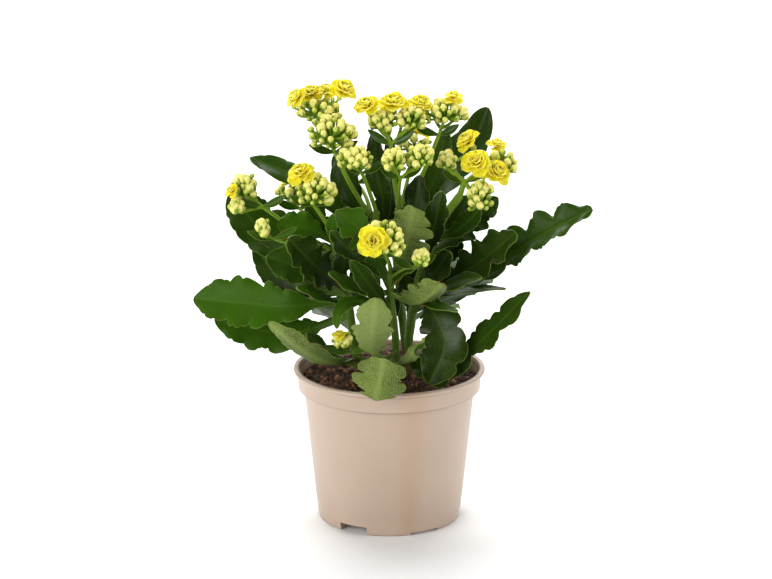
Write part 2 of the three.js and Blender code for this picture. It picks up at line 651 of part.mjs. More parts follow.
function potSolid() {
  const lipMiddle = POT.height - POT.lipHeight / 2;
  const collarTop = POT.height - POT.lipHeight;
  const profile = [
    [0, POT.floorBottom],
    [POT.footInnerRadius - 1, POT.floorBottom],
    [POT.footInnerRadius, 0],
    [POT.footRadius - POT.footRound, 0],
    [POT.footRadius, POT.footRound],
    [POT.wallTopRadius, POT.collarBottom],
    [POT.collarRadius, POT.collarBottom],
    [POT.collarRadius + 0.5, collarTop],
    [POT.lipRadius - 0.7, collarTop + 0.1],
    [POT.lipRadius, lipMiddle],
    [POT.lipRadius - 0.9, POT.height - 0.2],
    [POT.innerTopRadius + 0.9, POT.height],
    [POT.innerTopRadius, lipMiddle],
    [POT.collarRadius - POT.wall, POT.collarBottom + 1.5],
    [POT.wallTopRadius - POT.wall, POT.collarBottom - 2],
    [POT.footRadius - POT.wall, POT.floorTop],
    [0, POT.floorTop],
  ];
  let pot = solidOf(turned(profile, POT.sides));
  for (let k = 0; k < NOTCH.count; k += 1) {
    const high = k % 2 === 0 ? NOTCH.deep : NOTCH.shallow;
    const cut = new THREE.BoxGeometry(24, NOTCH.width, high * 2).translate(POT.footRadius, 0, 0);
    const angle = THREE.MathUtils.degToRad(NOTCH.firstAngle + (k * 360) / NOTCH.count);
    pot = pot.subtract(solidOf(cut.rotateZ(angle)));
  }
  return pot;
}

function soilSolid() {
  const wallAt = (height) => {
    const share = (height - POT.floorTop) / (POT.collarBottom - 2 - POT.floorTop);
    return THREE.MathUtils.lerp(POT.footRadius, POT.wallTopRadius, share) - POT.wall - GAP;
  };
  const bottom = POT.floorTop + GAP;
  const shoulder = POT.collarBottom - 2;
  const edge = POT.collarRadius - POT.wall - GAP - 0.2;
  const rings = [0.75, 0.5, 0.25];
  const profile = [
    [0, bottom],
    [wallAt(bottom) - 0.2, bottom],
    [wallAt(shoulder) - 0.2, shoulder],
    [edge, POT.collarBottom + 2],
    [edge, SOIL.top - 1],
    ...rings.map((share) => [edge * share, SOIL.top + SOIL.crown * (1 - share)]),
    [0, SOIL.top + SOIL.crown],
  ];
  const mound = turned(profile, SOIL.sides);
  const place = mound.getAttribute('position');
  for (let k = 0; k < place.count; k += 1) {
    const [x, y, z] = [place.getX(k), place.getY(k), place.getZ(k)];
    if (z < SOIL.top - 0.5) continue;
    const wave = Math.sin(x * 0.31 + 1) * Math.cos(y * 0.37) + Math.sin(x * 0.13 - y * 0.23);
    place.setZ(k, z + SOIL.grain * wave);
  }
  let soil = solidOf(mound);
  for (const { foot, radius } of Object.values(STEMS)) {
    const hole = new THREE.CylinderGeometry(radius + GAP, radius + GAP, SOIL.holeDepth * 2, 8);
    hole.rotateX(Math.PI / 2).translate(...foot, SOIL.top);
    soil = soil.subtract(solidOf(hole));
  }
  return soil;
}

// ---------------------------------------------------------------- the plant put together

const plant = new THREE.Group();
plant.add(meshOf('pot', potSolid(), COLOUR.pot, 0.5));
plant.add(meshOf('soil', soilSolid(), COLOUR.soil, 1));

for (const name of Object.keys(STEMS)) {
  plant.add(meshOf(`leafy_stem_${name}`, mainBody(stemSolid(name)), COLOUR.leaf, 0.35));
}

// A spray is trimmed where it meets its stem, so that the two touch without crossing.
for (const [name, { from, blooms }] of Object.entries(SPRAYS)) {
  const trimmed = mainBody(spraySolid(name).subtract(stemSheath(STEMS[from[0]])));
  plant.add(meshOf(`spray_${name}`, trimmed, COLOUR.spray, 0.5));
  blooms.forEach((bloom, k) => {
    plant.add(meshOf(`bloom_${name}_${k + 1}`, bloomSolid(bloom), COLOUR.bloom, 0.5));
  });
}

export default plant;
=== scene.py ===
import math

import bpy
import numpy as np
from mathutils import Matrix, Quaternion, Vector, noise


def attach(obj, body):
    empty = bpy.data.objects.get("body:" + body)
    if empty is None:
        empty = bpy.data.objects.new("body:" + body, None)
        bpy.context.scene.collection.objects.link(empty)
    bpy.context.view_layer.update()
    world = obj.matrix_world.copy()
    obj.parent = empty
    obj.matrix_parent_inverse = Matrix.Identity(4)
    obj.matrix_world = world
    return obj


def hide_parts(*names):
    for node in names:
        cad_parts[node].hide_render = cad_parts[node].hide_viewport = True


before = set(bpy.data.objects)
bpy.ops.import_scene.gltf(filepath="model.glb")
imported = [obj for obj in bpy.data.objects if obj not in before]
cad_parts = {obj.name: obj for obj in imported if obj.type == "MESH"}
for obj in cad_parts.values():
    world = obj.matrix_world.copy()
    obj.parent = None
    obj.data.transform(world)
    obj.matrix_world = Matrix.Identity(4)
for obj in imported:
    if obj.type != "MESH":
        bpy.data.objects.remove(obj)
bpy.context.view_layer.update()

# ------------------------------------------------------------------ sizes, in millimetres

MM = 0.001
BODY = "root"
UP = np.array([0.0, 0.0, 1.0])
GOLDEN_ANGLE = 2.39996
FULL_TURN = 6.283
# the painted shade in the dense middle of the leaves, in metres: full within the inner reach, none past the
# outer
DENSE_MIDDLE = {"centre": (0.0, 0.012, 0.160), "squash": 1.5, "inner": 0.03, "outer": 0.085}
LEAF_SHEEN = (0.85, 1.0, 0.55, 1.0)

POT = {
    "height": 97.0, "foot_radius": 44.9, "foot_inner_radius": 38.3, "wall_top_radius": 53.3,
    "collar_radius": 57.0, "collar_bottom": 84.0, "lip_radius": 60.0, "lip_height": 2.6,
    "inner_top_radius": 56.2, "wall": 1.5, "floor_bottom": 5.6, "floor_top": 7.2, "sides": 160,
}
# where the band of painted shade runs down the pot, soft and tan, and half its width, in radians from the
# front
PAINTED_SHADE_BAND = {"angle": 0.27, "half": 0.26}
NOTCH = {"count": 6, "width": 19.0, "across": 24.0, "deep": 5.4, "shallow": 1.8, "first_angle": -120.0}
SOIL = {
    "top": 89.0, "crown": 2.5, "grain": 1.1, "bottom": 80.0, "bottom_radius": 43.0, "litter_radius": 51.5,
}
# what lies on the soil: its shape, how many on a square metre, least and most size, seed, tilt
LITTER = [
    ("crumb", 330000.0, 0.8, 2.6, 3, 3.0), ("crumb", 26000.0, 2.6, 4.6, 8, 3.0),
    ("fibre", 42000.0, 0.45, 0.9, 5, 0.5),
]
LEAF = {
    "thickness": 1.3, "edge": 0.8, "petiole": 5.5, "petiole_share": 0.45, "stalk": 0.2, "tip_lobe": 0.4,
    "keel": 1.3, "least_fold": 6,
}
# a slim stalk's radius at its foot and at its end
STALK = {"twig": (0.95, 0.75), "inner_twig": (1.3, 0.85), "rib": (1.2, 0.9), "bloom": (0.9, 0.8)}
BRACT = {"length": 14, "longer_by": 4, "half_width": 2.6}
HEAD = {"drop": 0.25, "branch": 1.1, "fill": 3.4, "flat": 0.85, "least_bud": 1.2}
BLOOM_SEAT = 0.55
BLOOM_PETALS = {"small": 17, "large": 24, "large_from": 6.8}

# The plant is laid out as it is seen from the front: each point is (across, up, depth), where across
# and up are measured square to the line of sight through the rim, and depth runs back from the axis.
EYE = np.array([-2.0, -1528.0, 573.0])
SIGHT_CENTRE = 95.0
SIGHT_TILT = math.radians(15.6)
FOCAL_PIXELS, FRAME_WIDTH = 2560.0, 772.0

# foot (x, y) in the soil, radius, and the route above it
STEMS = {
    "left": ((-19, 2), 2.7, [(-22, 17, 0), (-26, 44, -4), (-31, 69, -6), (-38, 89, -10)]),
    "centre": ((3, -15), 2.5, [(4, 17, -17), (1, 44, -24), (1, 60, -30)]),
    "right": ((14, 1), 2.9, [(12, 14, 0), (15, 37, -2), (21, 64, -2), (32, 91, 0), (44, 108, 2)]),
    "rear_left": ((-7, 19), 2.7, [(-8, 24, 18), (-8, 55, 16), (-9, 83, 12), (-8, 98, 7)]),
    "rear_right": ((12, 21), 2.7, [(9, 24, 21), (6, 55, 20), (5, 83, 16), (6, 100, 12)]),
}

# stem, share of its length, route to the tip, width, where the upper side looks, lobes, notch, fold,
# tone: how much lighter than the rest the leaf is, and a long stalk's share of the route
LEAVES = [
    ("left", 0.5, [(-62, 39, -10), (-90, 41, 0), (-122, 44, 14)], 34, (0, -1, 0.5), 4, 0.25, 8, 0.5),
    ("left", 0.4, [(-64, 22, 6), (-109, 31, 14)], 29, (0, -1, 0.6), 4, 0.25, 0, 0.1),
    ("left", 0.78, [(-65, 78, 16), (-86, 93, 24), (-99, 111, 30)], 36, (0.5, -0.8, 0.4), 3, 0.2, 0, -0.3),
    ("left", 0.9, [(-52, 88, -12), (-70, 90, -14)], 20, (0, -0.9, 0.5), 3, 0.2, 0, 0.8),
    ("left", 0.65, [(-56, 64, -14), (-77, 70, -20)], 24, (0, -1, 0.3), 3, 0.2, 10, 0),
    ("left", 0.55, [(-44, 62, -28), (-63, 81, -42)], 30, (0, -0.8, 0.6), 4, 0.5, 12, -0.6),
    ("left", 0.55, [(-65, 54, 8), (-84, 79, 16)], 20, (-0.3, -0.9, 0.2), 2, 0.16, 0, -0.5),
    ("left", 0.45, [(-42, 45, -30), (-58, 51, -40)], 13, (0, -0.6, 0.8), 2, 0.35, 0, 0.2),
    ("left", 0.1, [(-34, 3, -28), (-54, 12, -42), (-75, 29, -52)], 18, (0, 0.8, 0.6), 3, 0.25, 12, -0.4),
    ("left", 0.06, [(-36, 8, 2), (-52, 22, -4)], 11, (-0.4, -0.5, 0.8), 2, 0.22, 0, -0.4),
    ("left", 0.66, [(-38, 67, 3), (-43, 79, 4)], 18, (-0.2, -1, 0.2), 3, 0.3, 0, -0.5),
    ("left", 0.5, [(-37, 52, 10), (-50, 66, 16)], 26, (0.2, -1, 0.3), 2, 0.3, 0, -0.7),
    ("left", 0.9, [(-36, 86, -16), (-35, 97, -20)], 8, (0, -0.8, 0.6), 2, 0.3, 0, 0.8),
    ("left", 0.84, [(-31, 84, -8), (-25, 101, -10)], 17, (0.2, -0.9, 0.3), 2, 0.3, 0, -0.5),
    ("left", 0.62, [(-29, 64, -14), (-24, 81, -18)], 16, (0.2, -0.9, 0.3), 2, 0.3, 0, -0.5),
    ("left", 0.88, [(-45, 95, -4), (-50, 106, -2)], 15, (0, -1, 0.3), 2, 0.25, 0, -0.3),
    ("centre", 0.25, [(-5, 6, -36), (-10, 12, -54), (-10, 28, -61), (-8, 44, -62)], 27,
     (0, 1, 0.4), 3, 0.3, 12, 0.7, 0.45),
    ("centre", 0.1, [(-4, -6, -47), (-8, -19, -68), (-7, -12, -77), (-3, 7, -82)], 35,
     (0.15, 1, 0.4), 3, 0.45, 12, -1, 0.55),
    ("centre", 0.8, [(16, 41, -44), (34, 53, -56)], 28, (-0.3, 0.9, 0.5), 4, 0.5, 20, -0.8),
    ("centre", 0.8, [(-18, 49, -34), (-38, 60, -40)], 11, (0, -0.6, 0.8), 2, 0.35, 0, 0.4),
    ("centre", 0.7, [(-22, 42, -36), (-31, 36, -44), (-33, 25, -48)], 10, (-0.4, -0.8, 0.4), 2, 0.35, 0, 0.5),
    ("centre", 0.8, [(26, 40, -40), (43, 36, -50)], 9, (0, -0.4, 1), 2, 0.35, 0, -0.1),
    ("centre", 0.9, [(10, 76, -32), (15, 101, -38)], 31, (0.3, 0.9, 0.3), 4, 0.5, 12, -1),
    ("centre", 0.86, [(-14, 82, -36), (-33, 99, -42)], 26, (-0.2, -0.9, 0.4), 3, 0.45, 12, 0.4),
    ("centre", 0.6, [(-12, 52, -38), (-24, 68, -46)], 13, (-0.2, -0.9, 0.4), 2, 0.35, 0, -0.4),
    ("centre", 0.93, [(-20, 70, -28), (-37, 86, -34)], 15, (-0.2, -0.9, 0.4), 2, 0.4, 0, -0.5),
    ("centre", 0.86, [(10, 61, -36), (21, 65, -42)], 9, (0, -0.6, 0.8), 2, 0.25, 0, 0.5),
    ("centre", 0.14, [(12, 6, -42), (22, 19, -56)], 9, (0.4, -0.5, 0.7), 2, 0.3, 0, 0.3),
    ("right", 0.36, [(25, 38, -26), (35, 16, -42), (25, -10, -50)], 30, (-0.2, -1, 0.3), 4, 0.25, 0, -0.9),
    ("right", 0.1, [(32, -7, -30), (49, 9, -38), (67, 26, -40), (88, 48, -40)], 24,
     (-0.5, -0.5, 0.7), 4, 0.45, 0, -0.4),
    ("right", 0.45, [(54, 56, -2), (88, 79, -6), (127, 100, -14)], 31, (-0.3, -0.6, 0.8), 5, 0.4, 18, -0.2),
    ("right", 0.42, [(52, 63, -14), (79, 85, -22)], 30, (-0.2, -0.7, 0.8), 4, 0.4, 12, -0.6),
    ("right", 0.36, [(41, 53, -24), (58, 57, -32)], 16, (0, -0.5, 0.9), 2, 0.25, 0, -0.3),
    ("right", 0.4, [(50, 49, -10), (73, 50, -12)], 10, (0, -0.2, 1), 2, 0.22, 0, -0.3),
    ("right", 0.66, [(45, 84, 14), (68, 107, 22)], 20, (-0.3, -0.8, 0.5), 4, 0.4, 0, -0.4),
    ("right", 0.75, [(42, 86, 0), (57, 100, 6)], 14, (0, -0.8, 0.5), 2, 0.3, 0, -0.3),
    ("right", 0.55, [(34, 70, 12), (45, 88, 18)], 18, (-0.3, -0.9, 0.3), 2, 0.35, 0, -0.6),
    ("right", 0.8, [(41, 92, 10), (50, 108, 14)], 16, (-0.3, -0.9, 0.3), 2, 0.3, 0, -0.5),
    ("right", 0.3, [(13, 44, 6), (10, 58, 8)], 16, (0, -1, 0.3), 2, 0.3, 0, -0.5),
    ("right", 0.62, [(26, 80, -10), (33, 111, -14)], 16, (-0.1, -0.9, 0.3), 2, 0.3, 0, -0.6),
    ("right", 0.5, [(27, 59, -16), (38, 73, -22)], 18, (-0.2, -0.9, 0.4), 2, 0.3, 0, -0.6),
    ("right", 0.12, [(20, -1, -22), (15, 9, -34)], 12, (-0.3, -0.8, 0.5), 2, 0.3, 0, -0.4),
    ("rear_right", 0.74, [(28, 112, 38), (50, 137, 50), (62, 163, 58)], 29,
     (-0.4, -0.8, 0.3), 2, 0.16, 15, -0.2),
    ("rear_right", 0.78, [(28, 118, 31), (36, 150, 36)], 16, (0, -0.9, 0.3), 2, 0.22, 0, 0),
    ("rear_left", 0.72, [(-30, 99, 22), (-57, 119, 34), (-87, 132, 42)], 19,
     (0, -0.7, 0.7), 3, 0.22, 0, -0.1),
    ("rear_left", 0.9, [(-24, 108, 17), (-33, 135, 20)], 19, (0.3, -0.9, 0.3), 2, 0.22, 0, -0.2),
    ("rear_left", 0.62, [(-20, 78, 2), (-28, 100, 2)], 20, (0.2, -1, 0.2), 3, 0.3, 0, -0.7),
    ("rear_left", 0.42, [(-14, 52, 6), (-22, 69, 6)], 18, (0.2, -1, 0.3), 2, 0.35, 0, -0.7),
    ("rear_left", 0.72, [(-4, 102, 10), (-8, 122, 20), (-10, 148, 27)], 16, (0.2, -1, 0.2), 3, 0.25, 0, -0.6),
    ("rear_right", 0.74, [(2, 112, 34), (0, 146, 38)], 12, (0, -1, 0.2), 2, 0.25, 0, -0.6),
    ("rear_right", 0.62, [(14, 86, 8), (19, 121, 10)], 19, (-0.2, -1, 0.2), 3, 0.3, 0, -0.7),
    ("rear_left", 0.14, [(-2, 30, 12), (4, 50, 8)], 13, (0.1, -1, 0.2), 2, 0.3, 0, -0.6),
    ("rear_right", 0.6, [(1, 94, 26), (-3, 110, 32)], 14, (0, -1, 0.2), 1, 0.3, 0, -0.7),
    ("rear_right", 0.38, [(12, 58, 14), (13, 72, 12)], 13, (0, -1, 0.2), 1, 0.3, 0, -0.5),
    ("rear_left", 0.35, [(-28, 52, 50), (-56, 58, 74)], 28, (-0.2, 0.2, 1), 3, 0.28, 0, 0),
    ("rear_right", 0.35, [(26, 38, 54), (40, 40, 84)], 28, (0.1, 0, 1), 3, 0.28, 0, 0.1),
    ("rear_left", 0.55, [(-14, 62, 46), (-24, 66, 78)], 26, (0, 0.1, 1), 2, 0.33, 0, 0.2),
    ("rear_right", 0.6, [(26, 66, 44), (46, 76, 62)], 25, (0.1, 0.3, 1), 2, 0.28, 0, 0),
    ("rear_left", 0.82, [(-26, 90, 40), (-46, 94, 58)], 22, (-0.1, 0.4, 1), 2, 0.28, 0, -0.1),
    ("rear_right", 0.88, [(6, 98, 42), (8, 108, 62)], 20, (0, 0.5, 1), 2, 0.28, 0, 0.2),
    ("right", 0.3, [(44, 47, 32), (64, 59, 54)], 26, (0.2, 0.2, 1), 3, 0.28, 0, 0.1),
    ("left", 0.3, [(-42, 38, 32), (-66, 47, 52)], 26, (-0.2, 0.2, 1), 2, 0.28, 0, 0),
    ("right", 0.5, [(48, 66, 32), (74, 70, 52)], 22, (0.2, 0.3, 1), 2, 0.28, 0, 0.0),
    ("left", 0.65, [(-52, 66, 28), (-76, 66, 48)], 22, (-0.2, 0.3, 1), 2, 0.28, 0, 0.1),
]

# name: stem, share of its length, radius, route to the fork, heads as (centre, half width, half height,
# buds) and blooms as (place, radius, facing)
SPRAYS = {
    "top_left": (
        "rear_left", 0.93, 1.5, [(-22, 111, 6), (-34, 135, 10)],
        [((-44, 161, 22), 17, 9, 8), ((-36, 147, 4), 16, 13, 12)],
        [((-59, 171, 16), 7.5, (-0.7, -0.3, 0.8)), ((-49, 174, 26), 7.5, (0, -0.4, 1)),
         ((-39, 175, 34), 7.5, (0, -0.3, 1)), ((-28, 176, 18), 9.2, (0.4, -0.4, 0.9))],
    ),
    "upper_left": (
        "rear_left", 1, 1.3, [(-14, 115, 0), (-17, 122, -6)],
        [((-21, 131, -12), 12, 9, 9)],
        [],
    ),
    "upper_right": (
        "rear_right", 0.84, 1.3, [(6, 111, 2), (7, 119, -6)],
        [((3, 130, -17), 9, 9, 6), ((19, 132, -14), 10, 9, 8)],
        [],
    ),
    "top_middle": (
        "rear_right", 1, 1.5, [(3, 120, 16), (1, 140, 14)],
        [((-4, 155, 14), 10, 9, 6), ((14, 156, 16), 12, 9, 8)],
        [((-14, 166, 8), 8.5, (-0.3, -0.5, 1)), ((3, 168, 16), 9.5, (0, -0.4, 1)),
         ((20, 167, 20), 8.5, (0.3, -0.4, 1))],
    ),
    "top_right": (
        "rear_right", 0.94, 1.4, [(20, 120, 26), (31, 146, 24)],
        [((35, 160, 26), 15, 10, 10)],
        [((40, 171, 24), 6.5, (0.1, -0.3, 1))],
    ),
    "right": (
        "right", 1, 1.9, [(47, 117, 2)],
        [((70, 127, 4), 11, 11, 7), ((57, 107, -12), 9, 13, 8), ((36, 129, 4), 7, 8, 4)],
        [((48, 144, 4), 8, (-0.6, -0.3, 0.8)), ((54, 130, -14), 9.5, (-0.2, -0.7, 0.7)),
         ((68, 124, -10), 9, (0.4, -0.6, 0.7)), ((68, 141, 10), 6.5, (0.2, -0.3, 1))],
    ),
    "left_high": (
        "left", 1, 1.4, [(-44, 98, -14), (-47, 102, -16)],
        [((-46, 111, -18), 13, 12, 12)],
        [((-56, 124, -20), 8.5, (-0.2, -0.5, 0.9))],
    ),
    "far_left": (
        "left", 0.8, 1.4, [(-60, 88, -2), (-79, 101, -6)],
        [((-90, 113, -4), 9, 10, 7), ((-95, 101, -12), 6, 7, 4)],
        [((-99, 112, -12), 5, (-0.5, -0.4, 0.6))],
    ),
    "left_low": (
        "left", 0.71, 1, [(-58, 76, -20), (-72, 81, -22)],
        [((-79, 87, -24), 5, 8, 4)],
        [],
    ),
    "front": (
        "centre", 1, 1.4, [(0, 66, -42), (-2, 70, -48)],
        [((-4, 80, -58), 14, 14, 12)],
        [((-10, 80, -70), 9.5, (-0.1, -1, 0.3))],
    ),
    "front_right": (
        "centre", 0.95, 1, [(9, 62, -42), (15, 63, -46)],
        [((20, 69, -50), 6.5, 6.5, 5)],
        [],
    ),
    "low_left": (
        "centre", 0.15, 1, [(-15, 6, -24), (-24, 10, -28)],
        [((-29, 17, -30), 7, 7, 6)],
        [((-31, 22, -34), 4.5, (0, -0.3, 1))],
    ),
    "back_left": (
        "rear_left", 0.88, 1.4, [(-14, 106, 30), (-20, 116, 46)],
        [((-24, 128, 54), 13, 9, 5)],
        [((-26, 138, 60), 8, (-0.1, 0.4, 0.9))],
    ),
    "back_right": (
        "rear_right", 0.89, 1.4, [(10, 112, 32), (14, 128, 48)],
        [((16, 141, 56), 13, 9, 5)],
        [((17, 151, 60), 8, (0.1, 0.4, 0.9))],
    ),
    "back_far_left": (
        "left", 0.85, 1.3, [(-46, 90, 16), (-56, 100, 40)],
        [((-62, 110, 48), 10, 8, 5)],
        [((-64, 118, 52), 6, (-0.4, 0.3, 0.8))],
    ),
}


# ------------------------------------------------------------------ the plant's layout

def seen(point):
    """The place of a point of the layout."""
    across, up, depth = point
    on_plane = np.array(
        [across, up * math.sin(SIGHT_TILT), SIGHT_CENTRE + up * math.cos(SIGHT_TILT)], float
    )
    return EYE + (on_plane - EYE) * (depth - EYE[1]) / (on_plane[1] - EYE[1])


def unit(vector):
    vector = np.asarray(vector, float)
    return vector / np.linalg.norm(vector)


def smooth(points, shares):
    """Points and directions at shares of the length of a smooth curve through points."""
    p = np.asarray(points, float)
    before, after = [2 * p[0] - p[1], *p[:-2]], [*p[2:], 2 * p[-1] - p[-2]]
    dense = []
    steps = np.linspace(0, 1, 40, endpoint=False)[:, None]
    for a, b, c, d in zip(before, p[:-1], p[1:], after):
        from_b, to_c = 0.5 * (c - a), 0.5 * (d - b)
        dense.append(
            b + from_b * steps + (3 * (c - b) - 2 * from_b - to_c) * steps**2
            + (2 * (b - c) + from_b + to_c) * steps**3
        )
    dense = np.vstack([*dense, p[-1:]])
    run = np.concatenate([[0], np.cumsum(np.linalg.norm(np.diff(dense, axis=0), axis=1))])
    wanted = np.asarray(shares, float) * run[-1]
    at = lambda where: np.stack([np.interp(where, run, dense[:, k]) for k in range(3)], 1)
    reach = run[-1] * 0.01
    ways = at(np.minimum(wanted + reach, run[-1])) - at(np.maximum(wanted - reach, 0))
    return at(wanted), ways / np.linalg.norm(ways, axis=1)[:, None]


def stem_route(name):
    """The points that a stem runs through, from just over the soil."""
    (x, y), _, route = STEMS[name]
    return [(x, y, SOIL["top"] + 2), *[seen(point) for point in route]]


def stem_point(name, share):
    return smooth(stem_route(name), [share])[0][0]


def draw(seed):
    """A number from 0 to 1 that looks random, and is always the same for a seed."""
    wave = math.sin(seed * 12.9898 + 4.1) * 437.5853
    return wave - math.floor(wave)


# ------------------------------------------------------------------ meshes

def new_object(name, mesh, *materials):
    piece = bpy.data.objects.new(name, mesh)
    bpy.context.scene.collection.objects.link(piece)
    for material in materials:
        mesh.materials.append(material)
    return piece


def mesh_of(name, points, faces, marks=None):
    """A smooth mesh from points in millimetres, with a number for each point under each mark's name."""
    mesh = bpy.data.meshes.new(name)
    mesh.from_pydata((np.asarray(points) * MM).tolist(), [], faces)
    for mark, values in (marks or {}).items():
        layer = mesh.attributes.new(mark, "FLOAT", "POINT")
        layer.data.foreach_set("value", np.asarray(values, np.float32).ravel())
    mesh.shade_smooth()
    mesh.update()
    return mesh


def skin(rings):
    """Points and faces of a closed surface through rings of equal count, with a fan over each end."""
    rings = np.asarray(rings, float)
    count, around = rings.shape[:2]
    points = np.vstack([rings.reshape(-1, 3), rings[0].mean(0), rings[-1].mean(0)])
    faces = []
    for r in range(count - 1):
        for k in range(around):
            n = (k + 1) % around
            faces.append((r * around + k, r * around + n, (r + 1) * around + n, (r + 1) * around + k))
    first, last = count * around, count * around + 1
    for k in range(around):
        n = (k + 1) % around
        faces.append((first, n, k))
        faces.append((last, (count - 1) * around + k, (count - 1) * around + n))
    return points, faces


def turned(profile, around):
    """Rings of a turned shape round +Z from (radius, height) pairs."""
    angles = np.arange(around) / around * 2 * math.pi
    ring = lambda r, z: np.stack([r * np.cos(angles), r * np.sin(angles), np.full(around, z)], 1)
    return np.array([ring(r, z) for r, z in profile])


def smoothstep(low, high, value):
    t = np.clip((np.asarray(value, float) - low) / (high - low), 0, 1)
    return t * t * (3 - 2 * t)


# ------------------------------------------------------------------ geometry node trees

SOCKET_KINDS = {"Finish": "NodeSocketMaterial", "Shape": "NodeSocketObject"}


def add(tree, kind, inputs=None, **settings):
    """A node whose inputs are linked to sockets or set to plain values."""
    node = tree.nodes.new(kind)
    for setting, value in settings.items():
        setattr(node, setting, value)
    for key, value in (inputs or {}).items():
        if isinstance(value, bpy.types.NodeSocket):
            tree.links.new(value, node.inputs[key])
        else:
            node.inputs[key].default_value = value
    return node


class Grower:
    """A geometry tree being built. Its inputs are given by name, with _ for a space."""

    def __init__(self, name, **inputs):
        self.tree = bpy.data.node_groups.new(name, "GeometryNodeTree")
        self.tree.is_modifier = True
        new_socket = self.tree.interface.new_socket
        new_socket("Geometry", in_out="INPUT", socket_type="NodeSocketGeometry")
        for label, value in inputs.items():
            number = "NodeSocketInt" if isinstance(value, int) else "NodeSocketFloat"
            kind = SOCKET_KINDS.get(label, number)
            socket = new_socket(label.replace("_", " "), in_out="INPUT", socket_type=kind)
            if value is not None:
                socket.default_value = value
        new_socket("Geometry", in_out="OUTPUT", socket_type="NodeSocketGeometry")
        self.given = self.tree.nodes.new("NodeGroupInput").outputs

    def add(self, kind, inputs=None, **settings):
        """The outputs of a new node."""
        return add(self.tree, kind, inputs, **settings).outputs

    def math(self, operation, *values):
        return self.add("ShaderNodeMath", dict(enumerate(values)), operation=operation)[0]

    def xyz(self, inputs):
        return self.add("ShaderNodeCombineXYZ", inputs)[0]

    def mark(self, label, kind="FLOAT"):
        return self.add("GeometryNodeInputNamedAttribute", {"Name": label}, data_type=kind)["Attribute"]

    def random(self, kind="FLOAT", **ends):
        """A random number or vector for each point, which hangs on the tree's seed."""
        made = self.add("FunctionNodeRandomValue", {**ends, "Seed": self.given["Seed"]}, data_type=kind)
        return made[0] if kind == "FLOAT_VECTOR" else made[1]

    def random_size(self):
        return self.random(Min=self.given["Least size"], Max=self.given["Most size"])

    def shape(self):
        return self.add("GeometryNodeObjectInfo", {"Object": self.given["Shape"]})["Geometry"]

    def placed(self, points, shape, euler, size):
        """A shape at each point, turned and sized."""
        turn = self.add("FunctionNodeEulerToRotation", {"Euler": euler})[0]
        inputs = {"Points": points, "Instance": shape, "Rotation": turn, "Scale": size}
        return self.add("GeometryNodeInstanceOnPoints", inputs)[0]

    def real(self, geometry):
        return self.add("GeometryNodeRealizeInstances", {"Geometry": geometry})[0]

    def finished(self, geometry):
        """The whole tree, which ends in plain geometry with its finish on."""
        inputs = {"Geometry": self.real(geometry), "Material": self.given["Finish"]}
        painted = self.add("GeometryNodeSetMaterial", inputs)[0]
        self.tree.links.new(painted, self.tree.nodes.new("NodeGroupOutput").inputs[0])
        return self.tree


def stalk_tree():
    """Round stalks along the edges of a mesh, as thick as its mark says."""
    grow = Grower("Stalks along paths", Sides=8, Thickness=1.0, Finish=None)
    curve = grow.add("GeometryNodeMeshToCurve", {"Mesh": grow.given["Geometry"]})[0]
    thick = grow.math("MULTIPLY", grow.mark("thick"), grow.given["Thickness"])
    ring = {"Resolution": grow.given["Sides"], "Radius": 1.0}
    circle = grow.add("GeometryNodeCurvePrimitiveCircle", ring)[0]
    sweep = {"Curve": curve, "Profile Curve": circle, "Scale": thick, "Fill Caps": True}
    swept = grow.add("GeometryNodeCurveToMesh", sweep)[0]
    return grow.finished(grow.add("GeometryNodeSetShadeSmooth", {"Geometry": swept})[0])


def scatter_tree():
    """A shape at each point of a mesh, turned and sized as the points' marks say."""
    grow = Grower("Shapes at points", Shape=None, Least_size=1.0, Most_size=1.0, Seed=0, Finish=None)
    size = grow.math("MULTIPLY", grow.mark("size"), grow.random_size())
    turn = grow.mark("turn", "FLOAT_VECTOR")
    return grow.finished(grow.placed(grow.given["Geometry"], grow.shape(), turn, size))


def litter_tree():
    """Loose bits strewn over the open part of a surface."""
    grow = Grower(
        "Bits strewn over a surface", Shape=None, Per_square_metre=1000.0, Least_size=1.0, Most_size=1.0,
        Seed=0, Tilt=3.0, Finish=None,
    )
    given = grow.given
    spread = grow.add(
        "GeometryNodeDistributePointsOnFaces",
        {
            "Mesh": given["Geometry"], "Selection": grow.mark("open_top", "BOOLEAN"),
            "Density": given["Per square metre"], "Seed": given["Seed"],
        },
        distribute_method="RANDOM",
    )
    most_turn = grow.xyz({0: given["Tilt"], 1: given["Tilt"], 2: FULL_TURN})
    turn = grow.random("FLOAT_VECTOR", Max=most_turn)
    tone = {"Geometry": spread["Points"], "Name": "tone", "Value": grow.random()}
    toned = grow.add("GeometryNodeStoreNamedAttribute", tone, data_type="FLOAT", domain="POINT")[0]
    return grow.finished(grow.placed(toned, grow.shape(), turn, grow.random_size()))


